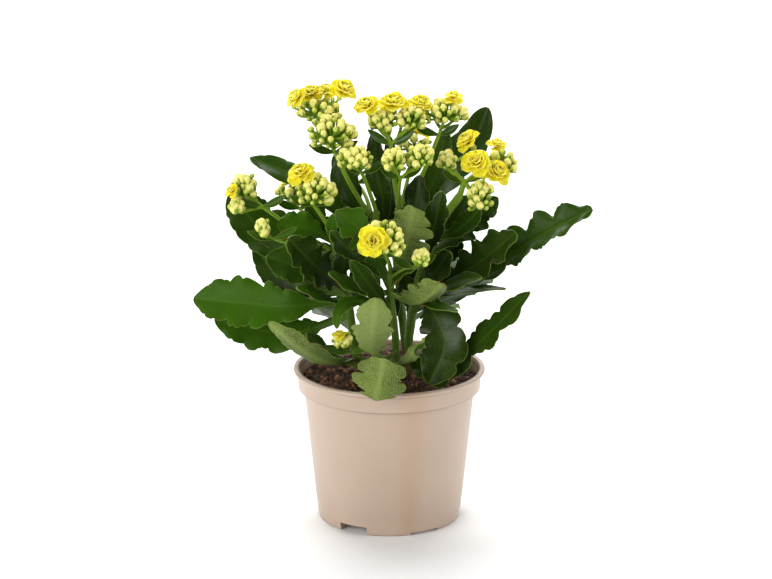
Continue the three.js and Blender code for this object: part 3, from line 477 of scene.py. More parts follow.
def notch_tree():
    """Cuts notches through a foot ring: one box for each angle, every other one less deep."""
    grow = Grower(
        "Foot notches", Radius=0.04, Width=0.02, Across=0.02, Deep=0.005, Shallow=0.002, Count=6,
        First_angle=0.0, Finish=None,
    )
    given = grow.given
    index = grow.add("GeometryNodeInputIndex")[0]
    angles = grow.add("GeometryNodeMeshLine", {"Count": given["Count"], "Offset": (0.0, 0.0, 0.0)})[0]
    step = grow.math("DIVIDE", 2 * math.pi, given["Count"])
    turn = grow.xyz({2: grow.math("MULTIPLY_ADD", index, step, given["First angle"])})
    odd = grow.math("MODULO", index, 2.0)
    share = grow.math("DIVIDE", given["Shallow"], given["Deep"])
    high = grow.add("ShaderNodeMapRange", {"Value": odd, "To Min": 1.0, "To Max": share})[0]
    size = grow.xyz({0: given["Across"], 1: given["Width"], 2: grow.math("MULTIPLY", given["Deep"], 2.0)})
    box = grow.add("GeometryNodeMeshCube", {"Size": size})[0]
    shift = grow.xyz({0: given["Radius"]})
    moved = grow.add("GeometryNodeTransform", {"Geometry": box, "Translation": shift})[0]
    boxes = grow.real(grow.placed(angles, moved, turn, grow.xyz({0: 1.0, 1: 1.0, 2: high})))
    bodies = {"Mesh 1": given["Geometry"], "Mesh 2": boxes}
    return grow.finished(grow.add("GeometryNodeMeshBoolean", bodies, operation="DIFFERENCE")[0])


def grown(source, tree, **values):
    """The plain mesh that a tree makes of a source mesh. Inputs are given by name, with _ for a space."""
    holder = new_object("holder", source)
    modifier = holder.modifiers.new("grow", "NODES")
    modifier.node_group = tree
    identifiers = {s.name: s.identifier for s in tree.interface.items_tree if s.in_out == "INPUT"}
    for label, value in values.items():
        modifier[identifiers[label.replace("_", " ")]] = value
    evaluated = holder.evaluated_get(bpy.context.evaluated_depsgraph_get())
    mesh = bpy.data.meshes.new_from_object(evaluated)
    holder.modifiers.clear()
    bpy.data.objects.remove(holder)
    return mesh


def one_mesh(name, meshes):
    """Several meshes put together in one, with their marks and finishes kept."""
    pieces = [new_object(f"{name}_{k}", mesh) for k, mesh in enumerate(meshes)]
    if len(pieces) > 1:
        with bpy.context.temp_override(
            active_object=pieces[0], object=pieces[0], selected_objects=pieces,
            selected_editable_objects=pieces,
        ):
            bpy.ops.object.join()
    pieces[0].name = name
    return pieces[0]


def paths_mesh(paths):
    """A mesh of edges from paths, each a (points, thicknesses) pair in millimetres."""
    mesh = bpy.data.meshes.new("paths")
    points, edges, thick = [], [], []
    for way, widths in paths:
        start = len(points)
        points += (np.asarray(way) * MM).tolist()
        thick += (np.asarray(widths) * MM).tolist()
        edges += [(start + k, start + k + 1) for k in range(len(way) - 1)]
    mesh.from_pydata(points, edges, [])
    mesh.attributes.new("thick", "FLOAT", "POINT").data.foreach_set("value", thick)
    return mesh


def points_mesh(places, turns, sizes, tones):
    """A mesh of loose points in millimetres, whose marks turn, size and tone the shapes on them."""
    mesh = bpy.data.meshes.new("points")
    mesh.from_pydata((np.asarray(places) * MM).tolist(), [], [])
    turn = mesh.attributes.new("turn", "FLOAT_VECTOR", "POINT")
    turn.data.foreach_set("vector", [angle for euler in turns for angle in euler])
    for label, values in (("size", sizes), ("tone", tones)):
        mesh.attributes.new(label, "FLOAT", "POINT").data.foreach_set("value", list(values))
    return mesh


def standing(direction, roll):
    """The turn that lays a shape's +Z along a direction, after a roll about it."""
    return (Vector(direction).to_track_quat("Z", "Y") @ Quaternion((0, 0, 1), roll)).to_euler()


def part_of(piece, material_slot, *nodes):
    """A finished piece rides on the pot and stands for its solids."""
    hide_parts(*nodes)
    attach(piece, BODY)


# ------------------------------------------------------------------ finishes

def speckle_group():
    """Fine light flecks over broad soft patches, both between 0 and 1."""
    tree = bpy.data.node_groups.new("Flecks and patches", "ShaderNodeTree")
    # its scale's name, the name of what it puts out, scale, detail, roughness, and the part of the noise
    # that is spread from 0 to 1
    kinds = [
        ("Fleck scale", "Flecks", 900.0, 3.0, 0.6, 0.42, 0.66),
        ("Patch scale", "Patches", 40.0, 4.0, 0.55, 0.32, 0.68),
    ]
    for scale_name, out_name, scale, *_ in kinds:
        socket = tree.interface.new_socket(scale_name, in_out="INPUT", socket_type="NodeSocketFloat")
        socket.default_value = scale
        tree.interface.new_socket(out_name, in_out="OUTPUT", socket_type="NodeSocketFloat")
    given, output = tree.nodes.new("NodeGroupInput").outputs, tree.nodes.new("NodeGroupOutput").inputs
    place = add(tree, "ShaderNodeTexCoord").outputs["Object"]
    for scale_name, out_name, _, detail, roughness, low, high in kinds:
        inputs = {"Vector": place, "Scale": given[scale_name], "Detail": detail, "Roughness": roughness}
        rough = add(tree, "ShaderNodeTexNoise", inputs).outputs["Fac"]
        inputs = {"Value": rough, "From Min": low, "From Max": high}
        spread = add(tree, "ShaderNodeMapRange", inputs, interpolation_type="SMOOTHSTEP")
        tree.links.new(spread.outputs[0], output[out_name])
    return tree


class Finish:
    """A material being built, with its flecks and patches and short ways to add nodes."""

    def __init__(self, name, fleck_scale, patch_scale, **constants):
        self.material = bpy.data.materials.new(name)
        self.material.use_nodes = True
        self.tree = self.material.node_tree
        self.shader = self.tree.nodes["Principled BSDF"]
        for label, value in constants.items():
            self.shader.inputs[label.replace("_", " ")].default_value = value
        scales = {"Fleck scale": fleck_scale, "Patch scale": patch_scale}
        group = add(self.tree, "ShaderNodeGroup", scales, node_tree=flecks)
        self.fine, self.patches = group.outputs["Flecks"], group.outputs["Patches"]
        self.place = add(self.tree, "ShaderNodeTexCoord").outputs["Object"]

    def axes(self):
        return add(self.tree, "ShaderNodeSeparateXYZ", {0: self.place}).outputs

    def mark(self, name):
        return add(self.tree, "ShaderNodeAttribute", attribute_name=name).outputs["Fac"]

    def mix(self, share, first, second):
        node = self.tree.nodes.new("ShaderNodeMix")
        node.data_type = "RGBA"
        for socket, value in ((node.inputs[0], share), (node.inputs[6], first), (node.inputs[7], second)):
            if isinstance(value, bpy.types.NodeSocket):
                self.tree.links.new(value, socket)
            else:
                socket.default_value = (*value, 1.0)
        return node.outputs[2]

    def layers(self, base, *tints):
        """A base colour under tints, each a colour, its mask and, where it isn't all, how much shows."""
        for colour, where, *most in tints:
            base = self.mix(self.math("MULTIPLY", where, *most) if most else where, base, colour)
        return base

    def paint(self, base, *tints):
        self.wear("Base Color", self.layers(base, *tints))

    def math(self, operation, *values):
        return add(self.tree, "ShaderNodeMath", dict(enumerate(values)), operation=operation).outputs[0]

    def ramp(self, value, low, high, out_low=0.0, out_high=1.0):
        inputs = {"Value": value, "From Min": low, "From Max": high, "To Min": out_low, "To Max": out_high}
        return add(self.tree, "ShaderNodeMapRange", inputs, interpolation_type="SMOOTHSTEP").outputs[0]

    def noise(self, scale):
        inputs = {"Vector": self.place, "Scale": scale, "Detail": 3.0}
        return add(self.tree, "ShaderNodeTexNoise", inputs).outputs["Fac"]

    def painted_shade_inside(self, most):
        """How deep a point lies in the painted shade of the plant's dense middle, from 0 outside to most."""
        (x, y, z), squash = DENSE_MIDDLE["centre"], DENSE_MIDDLE["squash"]
        inputs = {"Vector": self.place, "Location": (-x, -y, -z * squash), "Scale": (1.0, 1.0, squash)}
        moved = add(self.tree, "ShaderNodeMapping", inputs).outputs[0]
        far = add(self.tree, "ShaderNodeVectorMath", {0: moved}, operation="LENGTH").outputs["Value"]
        return self.ramp(far, DENSE_MIDDLE["outer"], DENSE_MIDDLE["inner"], 0.0, most)

    def rough(self, least, most):
        """Roughness that rises with the fine flecks."""
        self.wear("Roughness", self.ramp(self.fine, 0.0, 1.0, least, most))

    def relief(self, height, strength, distance=0.0002):
        inputs = {"Height": height, "Strength": strength, "Distance": distance}
        self.wear("Normal", add(self.tree, "ShaderNodeBump", inputs).outputs[0])

    def wear(self, label, value):
        self.tree.links.new(value, self.shader.inputs[label])


def leaf_finish():
    """Fleshy leaf: deep green above with gloss in places, pale grey-green below, and a thin band along the
    edge, warm brown in places and elsewhere light green as a painted edge highlight.
    """
    leaf = Finish(
        "fleshy leaf", 1400.0, 38.0, Specular_IOR_Level=0.07, Specular_Tint=LEAF_SHEEN, Coat_Roughness=0.26,
    )
    mark, mix, ramp = leaf.mark, leaf.mix, leaf.ramp
    tone, under, along = ramp(mark("tone"), -1.0, 1.0), mark("under"), mark("along")
    from_midrib = leaf.math("ABSOLUTE", mark("across_mm"))
    # painted sheen: whitish patches on darker leaves that stand in for gloss highlights
    painted_sheen = leaf.math("MULTIPLY", ramp(leaf.noise(20.0), 0.58, 0.72), ramp(tone, 0.55, 0.30))
    upper = leaf.layers(
        mix(tone, (0.005, 0.013, 0.001), (0.034, 0.112, 0.002)),
        ((0.036, 0.076, 0.004), leaf.patches, 0.42),
        ((0.085, 0.150, 0.018), leaf.fine, 0.20),
        ((0.08, 0.17, 0.015), ramp(from_midrib, 1.3, 0.3), 0.22),
        # painted shade: leaves darker deep in the dense middle of the plant
        ((0.003, 0.008, 0.001), leaf.painted_shade_inside(0.62)),
        # whitish painted sheen on darker leaves
        ((0.20, 0.27, 0.14), painted_sheen, 0.20),
    )
    lower = leaf.layers(
        mix(leaf.patches, (0.040, 0.070, 0.008), (0.120, 0.168, 0.028)),
        ((0.300, 0.375, 0.110), tone, 0.45),
        ((0.31, 0.37, 0.14), leaf.fine, 0.50),
        ((0.27, 0.36, 0.10), ramp(from_midrib, 3.0, 0.4), 0.35),
        ((0.040, 0.072, 0.010), ramp(along, 0.8, 0.25, 0.0, 0.70)),
    )
    # thin band along the edge: light green as a painted highlight where the rounded edge catches light, warm
    # brown in places as the leaf's own colour
    margin_and_edge_highlight = mix(ramp(leaf.noise(60.0), 0.52, 0.64), (0.20, 0.30, 0.05), (0.27, 0.15, 0.03))
    leaf.paint(
        mix(under, upper, lower),
        ((0.11, 0.20, 0.035), ramp(along, 0.30, 0.0), 0.45),
        (margin_and_edge_highlight, ramp(mark("margin_mm"), 0.55, 0.10), 0.5),
    )
    dull = ramp(under, 0.0, 1.0, 0.28, 0.55)
    leaf.wear("Roughness", leaf.math("ADD", dull, leaf.math("MULTIPLY", leaf.patches, 0.10)))
    # dark leaves and those in the open, high up, have the most gloss
    dark = ramp(mark("tone"), 0.3, -0.3, 0.05, 0.40)
    high = ramp(leaf.axes()["Z"], 0.19, 0.23, 0.0, 0.55)
    gloss = ramp(leaf.noise(26.0), 0.47, 0.64, high, dark)
    leaf.wear("Coat Weight", leaf.math("MULTIPLY", gloss, ramp(under, 0.0, 1.0, 1.0, 0.2)))
    leaf.relief(leaf.math("ADD", leaf.fine, leaf.math("MULTIPLY", leaf.patches, 2.0)), 0.25)
    return leaf.material


def stem_finish():
    """Stems and stalks: smooth green, lighter higher up and brown near the soil."""
    stem = Finish("green stem", 900.0, 60.0, Specular_IOR_Level=0.25, Specular_Tint=LEAF_SHEEN)
    height = stem.axes()["Z"]
    stem.paint(
        stem.mix(stem.ramp(height, 0.12, 0.24), (0.042, 0.088, 0.007), (0.215, 0.355, 0.022)),
        ((0.15, 0.26, 0.016), stem.patches, 0.2),
        # painted shade: stems darker deep in the dense middle of the plant
        ((0.050, 0.100, 0.008), stem.painted_shade_inside(0.6)),
        ((0.24, 0.34, 0.05), stem.fine, 0.10),
        ((0.10, 0.075, 0.03), stem.ramp(height, 0.112, 0.09)),
    )
    stem.rough(0.38, 0.5)
    stem.relief(stem.fine, 0.15)
    return stem.material


def bud_finish():
    """Closed buds: pale cream-yellow over a green calyx, with faint lines where the petals meet."""
    bud = Finish(
        "closed bud", 1500.0, 120.0, Subsurface_Weight=0.25, Subsurface_Scale=0.002,
        Subsurface_Radius=(1.0, 0.9, 0.4), Specular_IOR_Level=0.16,
    )
    seam = bud.mark("seam")
    blush = bud.math("MULTIPLY", bud.ramp(bud.patches, 0.72, 1.0), bud.ramp(bud.mark("rise"), 0.4, 0.9))
    bud.paint(
        bud.mix(bud.mark("tone"), (0.42, 0.56, 0.035), (0.97, 0.89, 0.26)),
        ((0.34, 0.42, 0.05), seam, 0.35),
        ((0.98, 0.95, 0.48), bud.fine, 0.25),
        ((0.78, 0.38, 0.16), blush, 0.20),
        (bud.mix(bud.patches, (0.19, 0.32, 0.018), (0.36, 0.52, 0.045)), bud.mark("calyx")),
    )
    bud.rough(0.38, 0.48)
    bud.relief(seam, 0.4)
    return bud.material


def petal_finish():
    """Open petals: clear yellow, deeper at the foot, with faint lengthwise lines."""
    petal = Finish(
        "yellow petal", 1200.0, 150.0, Subsurface_Weight=0.60, Subsurface_Scale=0.005,
        Subsurface_Radius=(1.0, 0.8, 0.2), Specular_IOR_Level=0.12,
    )
    lines = petal.ramp(petal.math("SINE", petal.math("MULTIPLY", petal.mark("across"), 17.0)), 0.3, 1.0)
    petal.paint(
        petal.mix(petal.ramp(petal.mark("along"), 0.05, 0.75), (0.98, 0.74, 0.008), (1.0, 0.86, 0.022)),
        ((1.0, 0.91, 0.10), petal.mark("tone"), 0.35),
        ((0.94, 0.70, 0.02), lines, 0.08),
        ((1.0, 0.90, 0.18), petal.fine, 0.15),
    )
    petal.wear("Roughness", petal.ramp(petal.patches, 0.0, 1.0, 0.42, 0.55))
    petal.relief(lines, 0.1)
    return petal.material


def pot_finish():
    """Moulded plastic: warm beige, with a soft tan band of painted shade and dark lines of painted shadow
    under the collar and the lip.
    """
    plastic = Finish("moulded beige plastic", 1600.0, 14.0, Specular_IOR_Level=0.75)
    math_node, ramp = plastic.math, plastic.ramp
    x, y, z = plastic.axes()
    round_pot = math_node("ARCTAN2", x, math_node("MULTIPLY", y, -1.0))
    from_shade_band = math_node("ABSOLUTE", math_node("SUBTRACT", round_pot, PAINTED_SHADE_BAND["angle"]))
    # painted shadow: thin dark lines just under the collar and under the lip
    lines = []
    for ledge, reach in ((POT["collar_bottom"], 0.0011), (POT["height"] - POT["lip_height"], 0.0006)):
        from_shadow_line = math_node("ABSOLUTE", math_node("SUBTRACT", z, (ledge - 0.4) * MM))
        lines.append(((0.16, 0.10, 0.07), ramp(from_shadow_line, reach, reach * 0.3, 0.0, 0.75)))
    plastic.paint(
        plastic.mix(plastic.patches, (0.455, 0.337, 0.252), (0.490, 0.368, 0.280)),
        ((0.62, 0.50, 0.40), plastic.fine, 0.10),
        # painted shade: a soft tan band down the pot just right of the front
        ((0.455, 0.300, 0.185), ramp(from_shade_band, PAINTED_SHADE_BAND["half"], 0.0, 0.0, 0.55)),
        *lines,
    )
    plastic.rough(0.36, 0.46)
    plastic.relief(plastic.fine, 0.10)
    return plastic.material


def peat_finish():
    """Dark peat with warmer fibres through it."""
    peat = Finish("peat", 420.0, 90.0)
    peat.paint(
        peat.mix(peat.patches, (0.012, 0.006, 0.003), (0.060, 0.025, 0.010)),
        ((0.13, 0.052, 0.017), peat.fine, 0.5),
    )
    peat.rough(0.82, 0.97)
    peat.relief(peat.fine, 0.9, 0.0008)
    return peat.material


def crumb_finish():
    """Crumbs and fibres of peat and coir, from near black to tan."""
    crumbs = Finish("peat crumbs", 900.0, 90.0)
    tone = crumbs.mark("tone")
    crumbs.paint(
        crumbs.mix(crumbs.ramp(tone, 0.15, 0.8), (0.006, 0.003, 0.002), (0.085, 0.034, 0.011)),
        ((0.34, 0.15, 0.050), crumbs.ramp(tone, 0.86, 1.0)),
        ((0.15, 0.066, 0.025), crumbs.fine, 0.2),
    )
    crumbs.rough(0.75, 0.95)
    crumbs.relief(crumbs.fine, 0.5)
    return crumbs.material


# ------------------------------------------------------------------ blades

def blade(centres, sides, normals, reach, rise, thickness, columns):
    """Points, faces and marks of a thin closed blade round a midrib. For u from -1 to 1 across a row,
    reach gives its width to that side, rise how far it stands over the midrib, and thickness its depth."""
    u = np.sin(np.linspace(-math.pi / 2, math.pi / 2, columns))
    both = np.concatenate([u, u[::-1]])
    under = np.repeat([0.0, 1.0], columns)
    shares = np.linspace(0, 1, len(centres))
    rings, rows = [], []
    for row, (centre, side, normal) in enumerate(zip(centres, sides, normals)):
        wide = reach(both, row)
        middle = centre + side * (u * reach(u, row))[:, None] + normal * rise(u, row)[:, None]
        deep = normal * (thickness(u, row) / 2)[:, None]
        rings.append(np.vstack([middle + deep, (middle - deep)[::-1]]))
        along = np.full(len(both), shares[row])
        rows.append(np.stack([both, both * wide, along, under, (1 - np.abs(both)) * wide]))
    points, faces = skin(rings)
    table = np.concatenate([*rows, rows[0][:, :1], rows[-1][:, :1]], 1)
    return points, faces, dict(zip(("across", "across_mm", "along", "under", "margin_mm"), table))


def crosswise(ways, face):
    """Unit vectors across a blade that runs along ways and looks to face."""
    sides = np.cross(ways, np.asarray(face, float))
    return sides / np.linalg.norm(sides, axis=1)[:, None]


def lobed_edge(along, lobes, depth, seed):
    """Share of its full reach that one edge of a leaf keeps: lobes unlike in size that lean to the tip,
    with narrow cuts between them, a small tooth on some, and small nicks all along."""
    periods = lobes + LEAF["tip_lobe"]
    cuts = [(k + 0.36 * (draw(seed + 1.7 * k) - 0.5) * (k > 0)) / periods for k in range(lobes + 2)]
    kept = np.ones_like(along)
    for k, (first, last) in enumerate(zip(cuts, cuts[1:])):
        inside = (along >= first) & (along < last)
        part = (along[inside] - first) / (last - first)
        crest = np.sin(math.pi * part ** (1.25 + 0.9 * draw(seed + 2.3 * k))) ** 0.42
        from_tooth = (part - 0.3 - 0.2 * draw(seed + k)) / 0.05
        tooth = 0.3 * (draw(seed + 3.1 * k) > 0.4) * np.exp(-(from_tooth**2))
        shallower = 1 - 0.6 * smoothstep(0.6, 0.95, along[inside])
        cut = depth * (0.85 + 0.6 * draw(seed + 1.1 * k)) * shallower
        kept[inside] = 1 - cut * (1 - crest + tooth)
    from_nick = np.abs(np.sin(math.pi * (along * periods * 1.7 + draw(seed + 5.3))))
    uneven = 0.5 + 0.5 * np.sin(along * 23.0 + seed)
    nicks = 0.45 * depth * uneven * np.exp(-((from_nick / 0.36) ** 2))
    return kept - nicks * smoothstep(0.02, 0.15, along) * (1 - smoothstep(0.85, 0.97, along))


def half_width(share, stalk, width, lobes, depth, seed):
    """Reach of one half of a leaf along its length: a narrow stalk, then a blade that is broadest past
    its middle and cut into lobes."""
    narrow = min(LEAF["petiole"], width * LEAF["petiole_share"]) / 2
    along = np.clip((share - stalk) / (1 - stalk), 0, 1)
    body = np.sin(math.pi * np.minimum(along**1.2, 0.996)) ** 0.55
    broad = width / 2 * body * lobed_edge(along, lobes, depth, seed)
    return np.maximum(np.where(share < 0.9, narrow, 0), broad)


def leaf_blade(number, leaf):
    """A fleshy blade with a keel below its midrib, whose halves rise from it and wave a little."""
    stem, at, route, width, face, lobes, depth, fold, tone, *own_stalk = leaf
    stalk = own_stalk[0] if own_stalk else LEAF["stalk"]
    points = [stem_point(stem, at), *[seen(point) for point in route]]
    shares = np.sort(np.concatenate([np.linspace(0, 1, 24 + 26 * lobes), np.linspace(0.955, 0.998, 5)]))
    centres, ways = smooth(points, shares)
    sides = crosswise(ways, face)
    left, right = (half_width(shares, stalk, width, lobes, depth, number + side) for side in (0.13, 0.61))
    steep = math.radians(max(fold, LEAF["least_fold"]))
    wave = (1.1 + 1.5 * draw(number + 0.3)) * width / 30 * smoothstep(stalk, stalk + 0.4, shares)
    pace = 2 * math.pi * (lobes + LEAF["tip_lobe"]) / (1 - stalk)

    def flat_width(u, row):
        return np.where(u < 0, left[row], right[row])

    def reach(u, row):
        return flat_width(u, row) * math.cos(steep)

    def rise(u, row):
        wide = flat_width(u, row)
        ripple = wave[row] * np.abs(u) ** 2.5 * np.sin(shares[row] * pace + 2.6 * np.sign(u) + number)
        cup = -0.05 * wide * np.cos(math.pi * np.minimum(np.abs(u) * 1.4, 1))
        return wide * math.sin(steep) * np.abs(u) ** 1.3 + ripple + cup * shares[row]

    def thickness(u, row):
        keel = LEAF["keel"] * np.exp(-((u * reach(u, row) / 1.2) ** 2)) * (1 - shares[row])
        round_edge = np.sqrt(np.maximum(1 - np.abs(u) ** 10, 0.05))
        return (LEAF["edge"] + (LEAF["thickness"] - LEAF["edge"]) * (1 - u**2)) * round_edge + keel

    points, faces, marks = blade(centres, sides, np.cross(sides, ways), reach, rise, thickness, 17)
    marks["tone"] = np.full(len(points), tone)
    return points, faces, marks


def leafy_stem(name):
    meshes = []
    for number, leaf in enumerate(LEAVES):
        if leaf[0] == name:
            mesh = mesh_of("leaf", *leaf_blade(number, leaf))
            mesh.materials.append(finishes["leaf"])
            meshes.append(mesh)
    (x, y), radius, _ = STEMS[name]
    shares = np.linspace(0, 1, 48)
    way, _ = smooth([(x, y, SOIL["top"] - 20), *stem_route(name)], shares)
    joints = np.array([leaf[1] for leaf in LEAVES if leaf[0] == name])
    above_soil = np.clip((shares - 0.12) / 0.88, 0, 1)
    knots = np.exp(-(((above_soil[:, None] - joints[None]) / 0.025) ** 2)).max(1)
    thick = radius * (1.02 - 0.14 * shares + 0.10 * knots)
    meshes.append(grown(paths_mesh([(way, thick)]), trees["stalks"], Sides=20, Finish=finishes["stem"]))
    part_of(one_mesh(f"stem_and_leaves_{name}", meshes), "leaf", f"leafy_stem_{name}")


# ------------------------------------------------------------------ buds and blooms

def bud_shape():
    """A closed bud 1 mm in radius that stands on +Z: four petals folded over a green calyx."""
    around = 8
    profile = [
        (0.30, -0.95), (0.66, -0.79), (0.93, -0.33), (1.0, 0.18), (0.93, 0.64), (0.66, 1.00), (0.22, 1.24),
    ]
    rings = turned(profile, around)
    rings[3:, ::2, :2] *= 0.95
    points, faces = skin(rings)
    rise = np.repeat(np.linspace(0, 1, len(profile)), around)
    seam = np.tile([1.0, 0.0], around // 2 * len(profile)) * (rise > 0.4)
    marks = {
        "calyx": [np.where(rise < 0.3, 1.0, 0.0), [1.0, 0.0]],
        "seam": [seam, [0.0, 1.0]],
        "rise": [rise, [0.0, 1.0]],
    }
    # four sepals, each from (reach, height, half width) rows
    rows = [(0.45, -0.9, 0.34), (0.99, -0.35, 0.46), (1.08, 0.20, 0.26), (1.02, 0.62, 0.03)]
    all_points = list(points)
    for k in range(4):
        angle = k * math.pi / 2 + math.pi / 4
        out = np.array([math.cos(angle), math.sin(angle), 0.0])
        side = np.array([-math.sin(angle), math.cos(angle), 0.0])
        start = len(all_points)
        for reach, height, half in rows:
            all_points += [out * reach + UP * height + side * half * hand for hand in (-1, 1)]
        for a in range(start, start + 6, 2):
            faces.append((a, a + 1, a + 3, a + 2))
        for name, value in (("calyx", 1.0), ("seam", 0.0), ("rise", 0.1)):
            marks[name].append(np.full(2 * len(rows), value))
    return mesh_of("bud_shape", all_points, faces, {name: np.concatenate(m) for name, m in marks.items()})


def petal_shape():
    """A petal 1 mm long that lies along +X and faces +Z: narrow foot, broad cupped end, short point."""
    shares = np.array([0.0, 0.2, 0.42, 0.62, 0.8, 0.92, 1.0])
    halves = np.array([0.14, 0.24, 0.40, 0.50, 0.44, 0.24, 0.02])
    centres = np.stack([shares, 0 * shares, 0.16 * shares - 0.20 * shares**4], 1)
    points, faces, marks = blade(
        centres, np.tile([0.0, 1.0, 0.0], (7, 1)), np.tile([0.0, 0.0, 1.0], (7, 1)),
        lambda u, row: halves[row] + 0 * u, lambda u, row: 0.17 * u**2 * shares[row] ** 0.5,
        lambda u, row: 0.05 + 0 * u, 5,
    )
    return mesh_of("petal_shape", points, faces, {name: marks[name] for name in ("across", "along")})


def urn_shape():
    """The swollen green tube under an open bloom, which stands on +Z."""
    profile = [(0.8, -3.0), (1.5, -2.4), (2.0, -1.2), (1.9, 0.2), (1.4, 1.6), (1.5, 2.4)]
    points, faces = skin(turned(profile, 10))
    rise = np.append(np.repeat(np.linspace(0, 1, 6), 10), [0.0, 1.0])
    marks = {"calyx": 1.0 - 0.75 * rise, "seam": 0 * rise, "rise": 0 * rise}
    return mesh_of("urn_shape", points, faces, marks)


def bloom_seat(bloom):
    """A bloom's place, the way it faces, and the point where its petals meet."""
    place, radius, facing = bloom
    facing = unit(facing)
    at = seen(place)
    return at, facing, at - facing * radius * BLOOM_SEAT


def head_buds(head, seed):
    """Places and radii of a head's buds, on a spiral of golden angles over it."""
    centre, wide, high, solid_buds = head
    middle = seen(centre)
    count = round(solid_buds * HEAD["fill"])
    for k in range(count):
        lift = 1 - 1.7 * (k + 0.5) / count
        spread = math.sqrt(1 - lift * lift)
        angle = k * GOLDEN_ANGLE + seed
        radius = HEAD["least_bud"] + 2.0 * draw(seed + k) ** 1.25
        depth = 0.70 + 0.34 * draw(seed * 3 + k * 1.7)
        offset = np.array([
            (wide - radius) * spread * math.cos(angle),
            (wide - radius) * spread * math.sin(angle) * HEAD["flat"],
            (high - radius) * lift,
        ])
        yield middle + offset * depth, radius


def clear_of_blooms(place, radius):
    blooms = (bloom for spray_row in SPRAYS.values() for bloom in spray_row[5])
    return all(np.linalg.norm(bloom_seat(b)[0] - place) > b[1] * 0.72 + radius * 0.8 for b in blooms)


def bent_path(start, end, sag, radii):
    """A slim stalk that bows gently between two points."""
    middle = (start + end) / 2 - UP * sag
    way, _ = smooth([start, middle, end], np.linspace(0, 1, 6))
    return way, np.linspace(*radii, 6)


def bract(fork, hand, seed):
    """A small narrow leaf to one side of the place where a spray forks."""
    long = BRACT["length"] + BRACT["longer_by"] * draw(seed + hand)
    out = unit([hand, 0.5 * draw(seed + 2 * hand) - 0.4, 0.35 + 0.35 * draw(seed + 3 * hand)])
    shares = np.linspace(0, 1, 14)
    way, ways = smooth([fork, fork + out * long * 0.5 - UP, fork + out * long], shares)
    sides = crosswise(ways, (0, -1, 0.5))
    half = BRACT["half_width"] * np.sin(math.pi * np.clip(shares**1.1, 0.08, 0.985)) ** 0.7
    points, faces, marks = blade(
        way, sides, np.cross(sides, ways), lambda u, row: half[row] + 0 * u,
        lambda u, row: 0.4 * half[row] * np.abs(u), lambda u, row: 0.7 - 0.3 * u**2, 7,
    )
    marks["tone"] = np.full(len(points), 0.1)
    mesh = mesh_of("bract", points, faces, marks)
    mesh.materials.append(finishes["leaf"])
    return mesh


def spray(name):
    """A forked stalk with its heads of buds, two bracts, and the green tubes that hold its blooms."""
    stem, at, radius, route, heads, blooms = SPRAYS[name]
    seed = len(name)
    points = [stem_point(stem, at), *[seen(point) for point in route]]
    fork = points[-1]
    way, _ = smooth(points, np.linspace(0, 1, 20))
    paths = [(way, np.linspace(radius * 1.1, radius * 0.85, 20))]
    places, directions, radii, tones = [], [], [], []
    hubs = [seen(centre) - UP * high * HEAD["drop"] for centre, _, high, _ in heads]
    for number, (head, hub) in enumerate(zip(heads, hubs)):
        paths.append(bent_path(fork, hub, 0.4, (radius * 0.8, HEAD["branch"])))
        for place, size in head_buds(head, seed + number):
            if not clear_of_blooms(place, size):
                continue
            outward = unit(0.7 * unit(place - hub) + 0.8 * UP)
            places.append(place)
            directions.append(outward)
            radii.append(size)
            tones.append(min(1.0, max(0.0, (size - HEAD["least_bud"]) / 1.1)))
            twig = hub + (place - hub) * 0.25
            paths.append(bent_path(twig, place - outward * size * 0.9, 0.6, STALK["twig"]))
        for place in places[-8::2]:
            paths.append(bent_path(hub, hub + (place - hub) * 0.5, 0.0, STALK["inner_twig"]))
        root, reach = fork + (hub - fork) * 0.35, head[1] * 0.6
        for turn in (0.4, 2.5, 4.6):
            rib = hub + reach * np.array([math.cos(turn), math.sin(turn) * HEAD["flat"], 0.0])
            paths.append(bent_path(root, rib, 1.0, STALK["rib"]))
    tubes = []
    for bloom in blooms:
        _, facing, seat = bloom_seat(bloom)
        near = min([fork, *hubs], key=lambda hub: np.linalg.norm(hub - seat))
        paths.append(bent_path(near, seat - facing * 5.5, 0.5, STALK["bloom"]))
        tubes.append((seat - facing * 2.6, standing(facing, 0.4), min(1.0, bloom[1] / 7.5), 0.6))
    meshes = [grown(paths_mesh(paths), trees["stalks"], Sides=8, Finish=finishes["stem"])]
    meshes += [bract(fork, hand, seed) for hand in (-1, 1)]
    turns = [standing(way, draw(k * 2.3 + seed) * FULL_TURN) for k, way in enumerate(directions)]
    for shape, marks, least, most, shape_seed in (
        ("bud", (places, turns, radii, tones), 0.94, 1.06, seed), ("urn", list(zip(*tubes)), 1.0, 1.0, 1),
    ):
        if marks and len(marks[0]):
            meshes.append(grown(
                points_mesh(*marks), trees["scatter"], Shape=shapes[shape], Least_size=least,
                Most_size=most, Seed=shape_seed, Finish=finishes["bud"],
            ))
    part_of(one_mesh(f"bud_spray_{name}", meshes), "bud", f"spray_{name}")


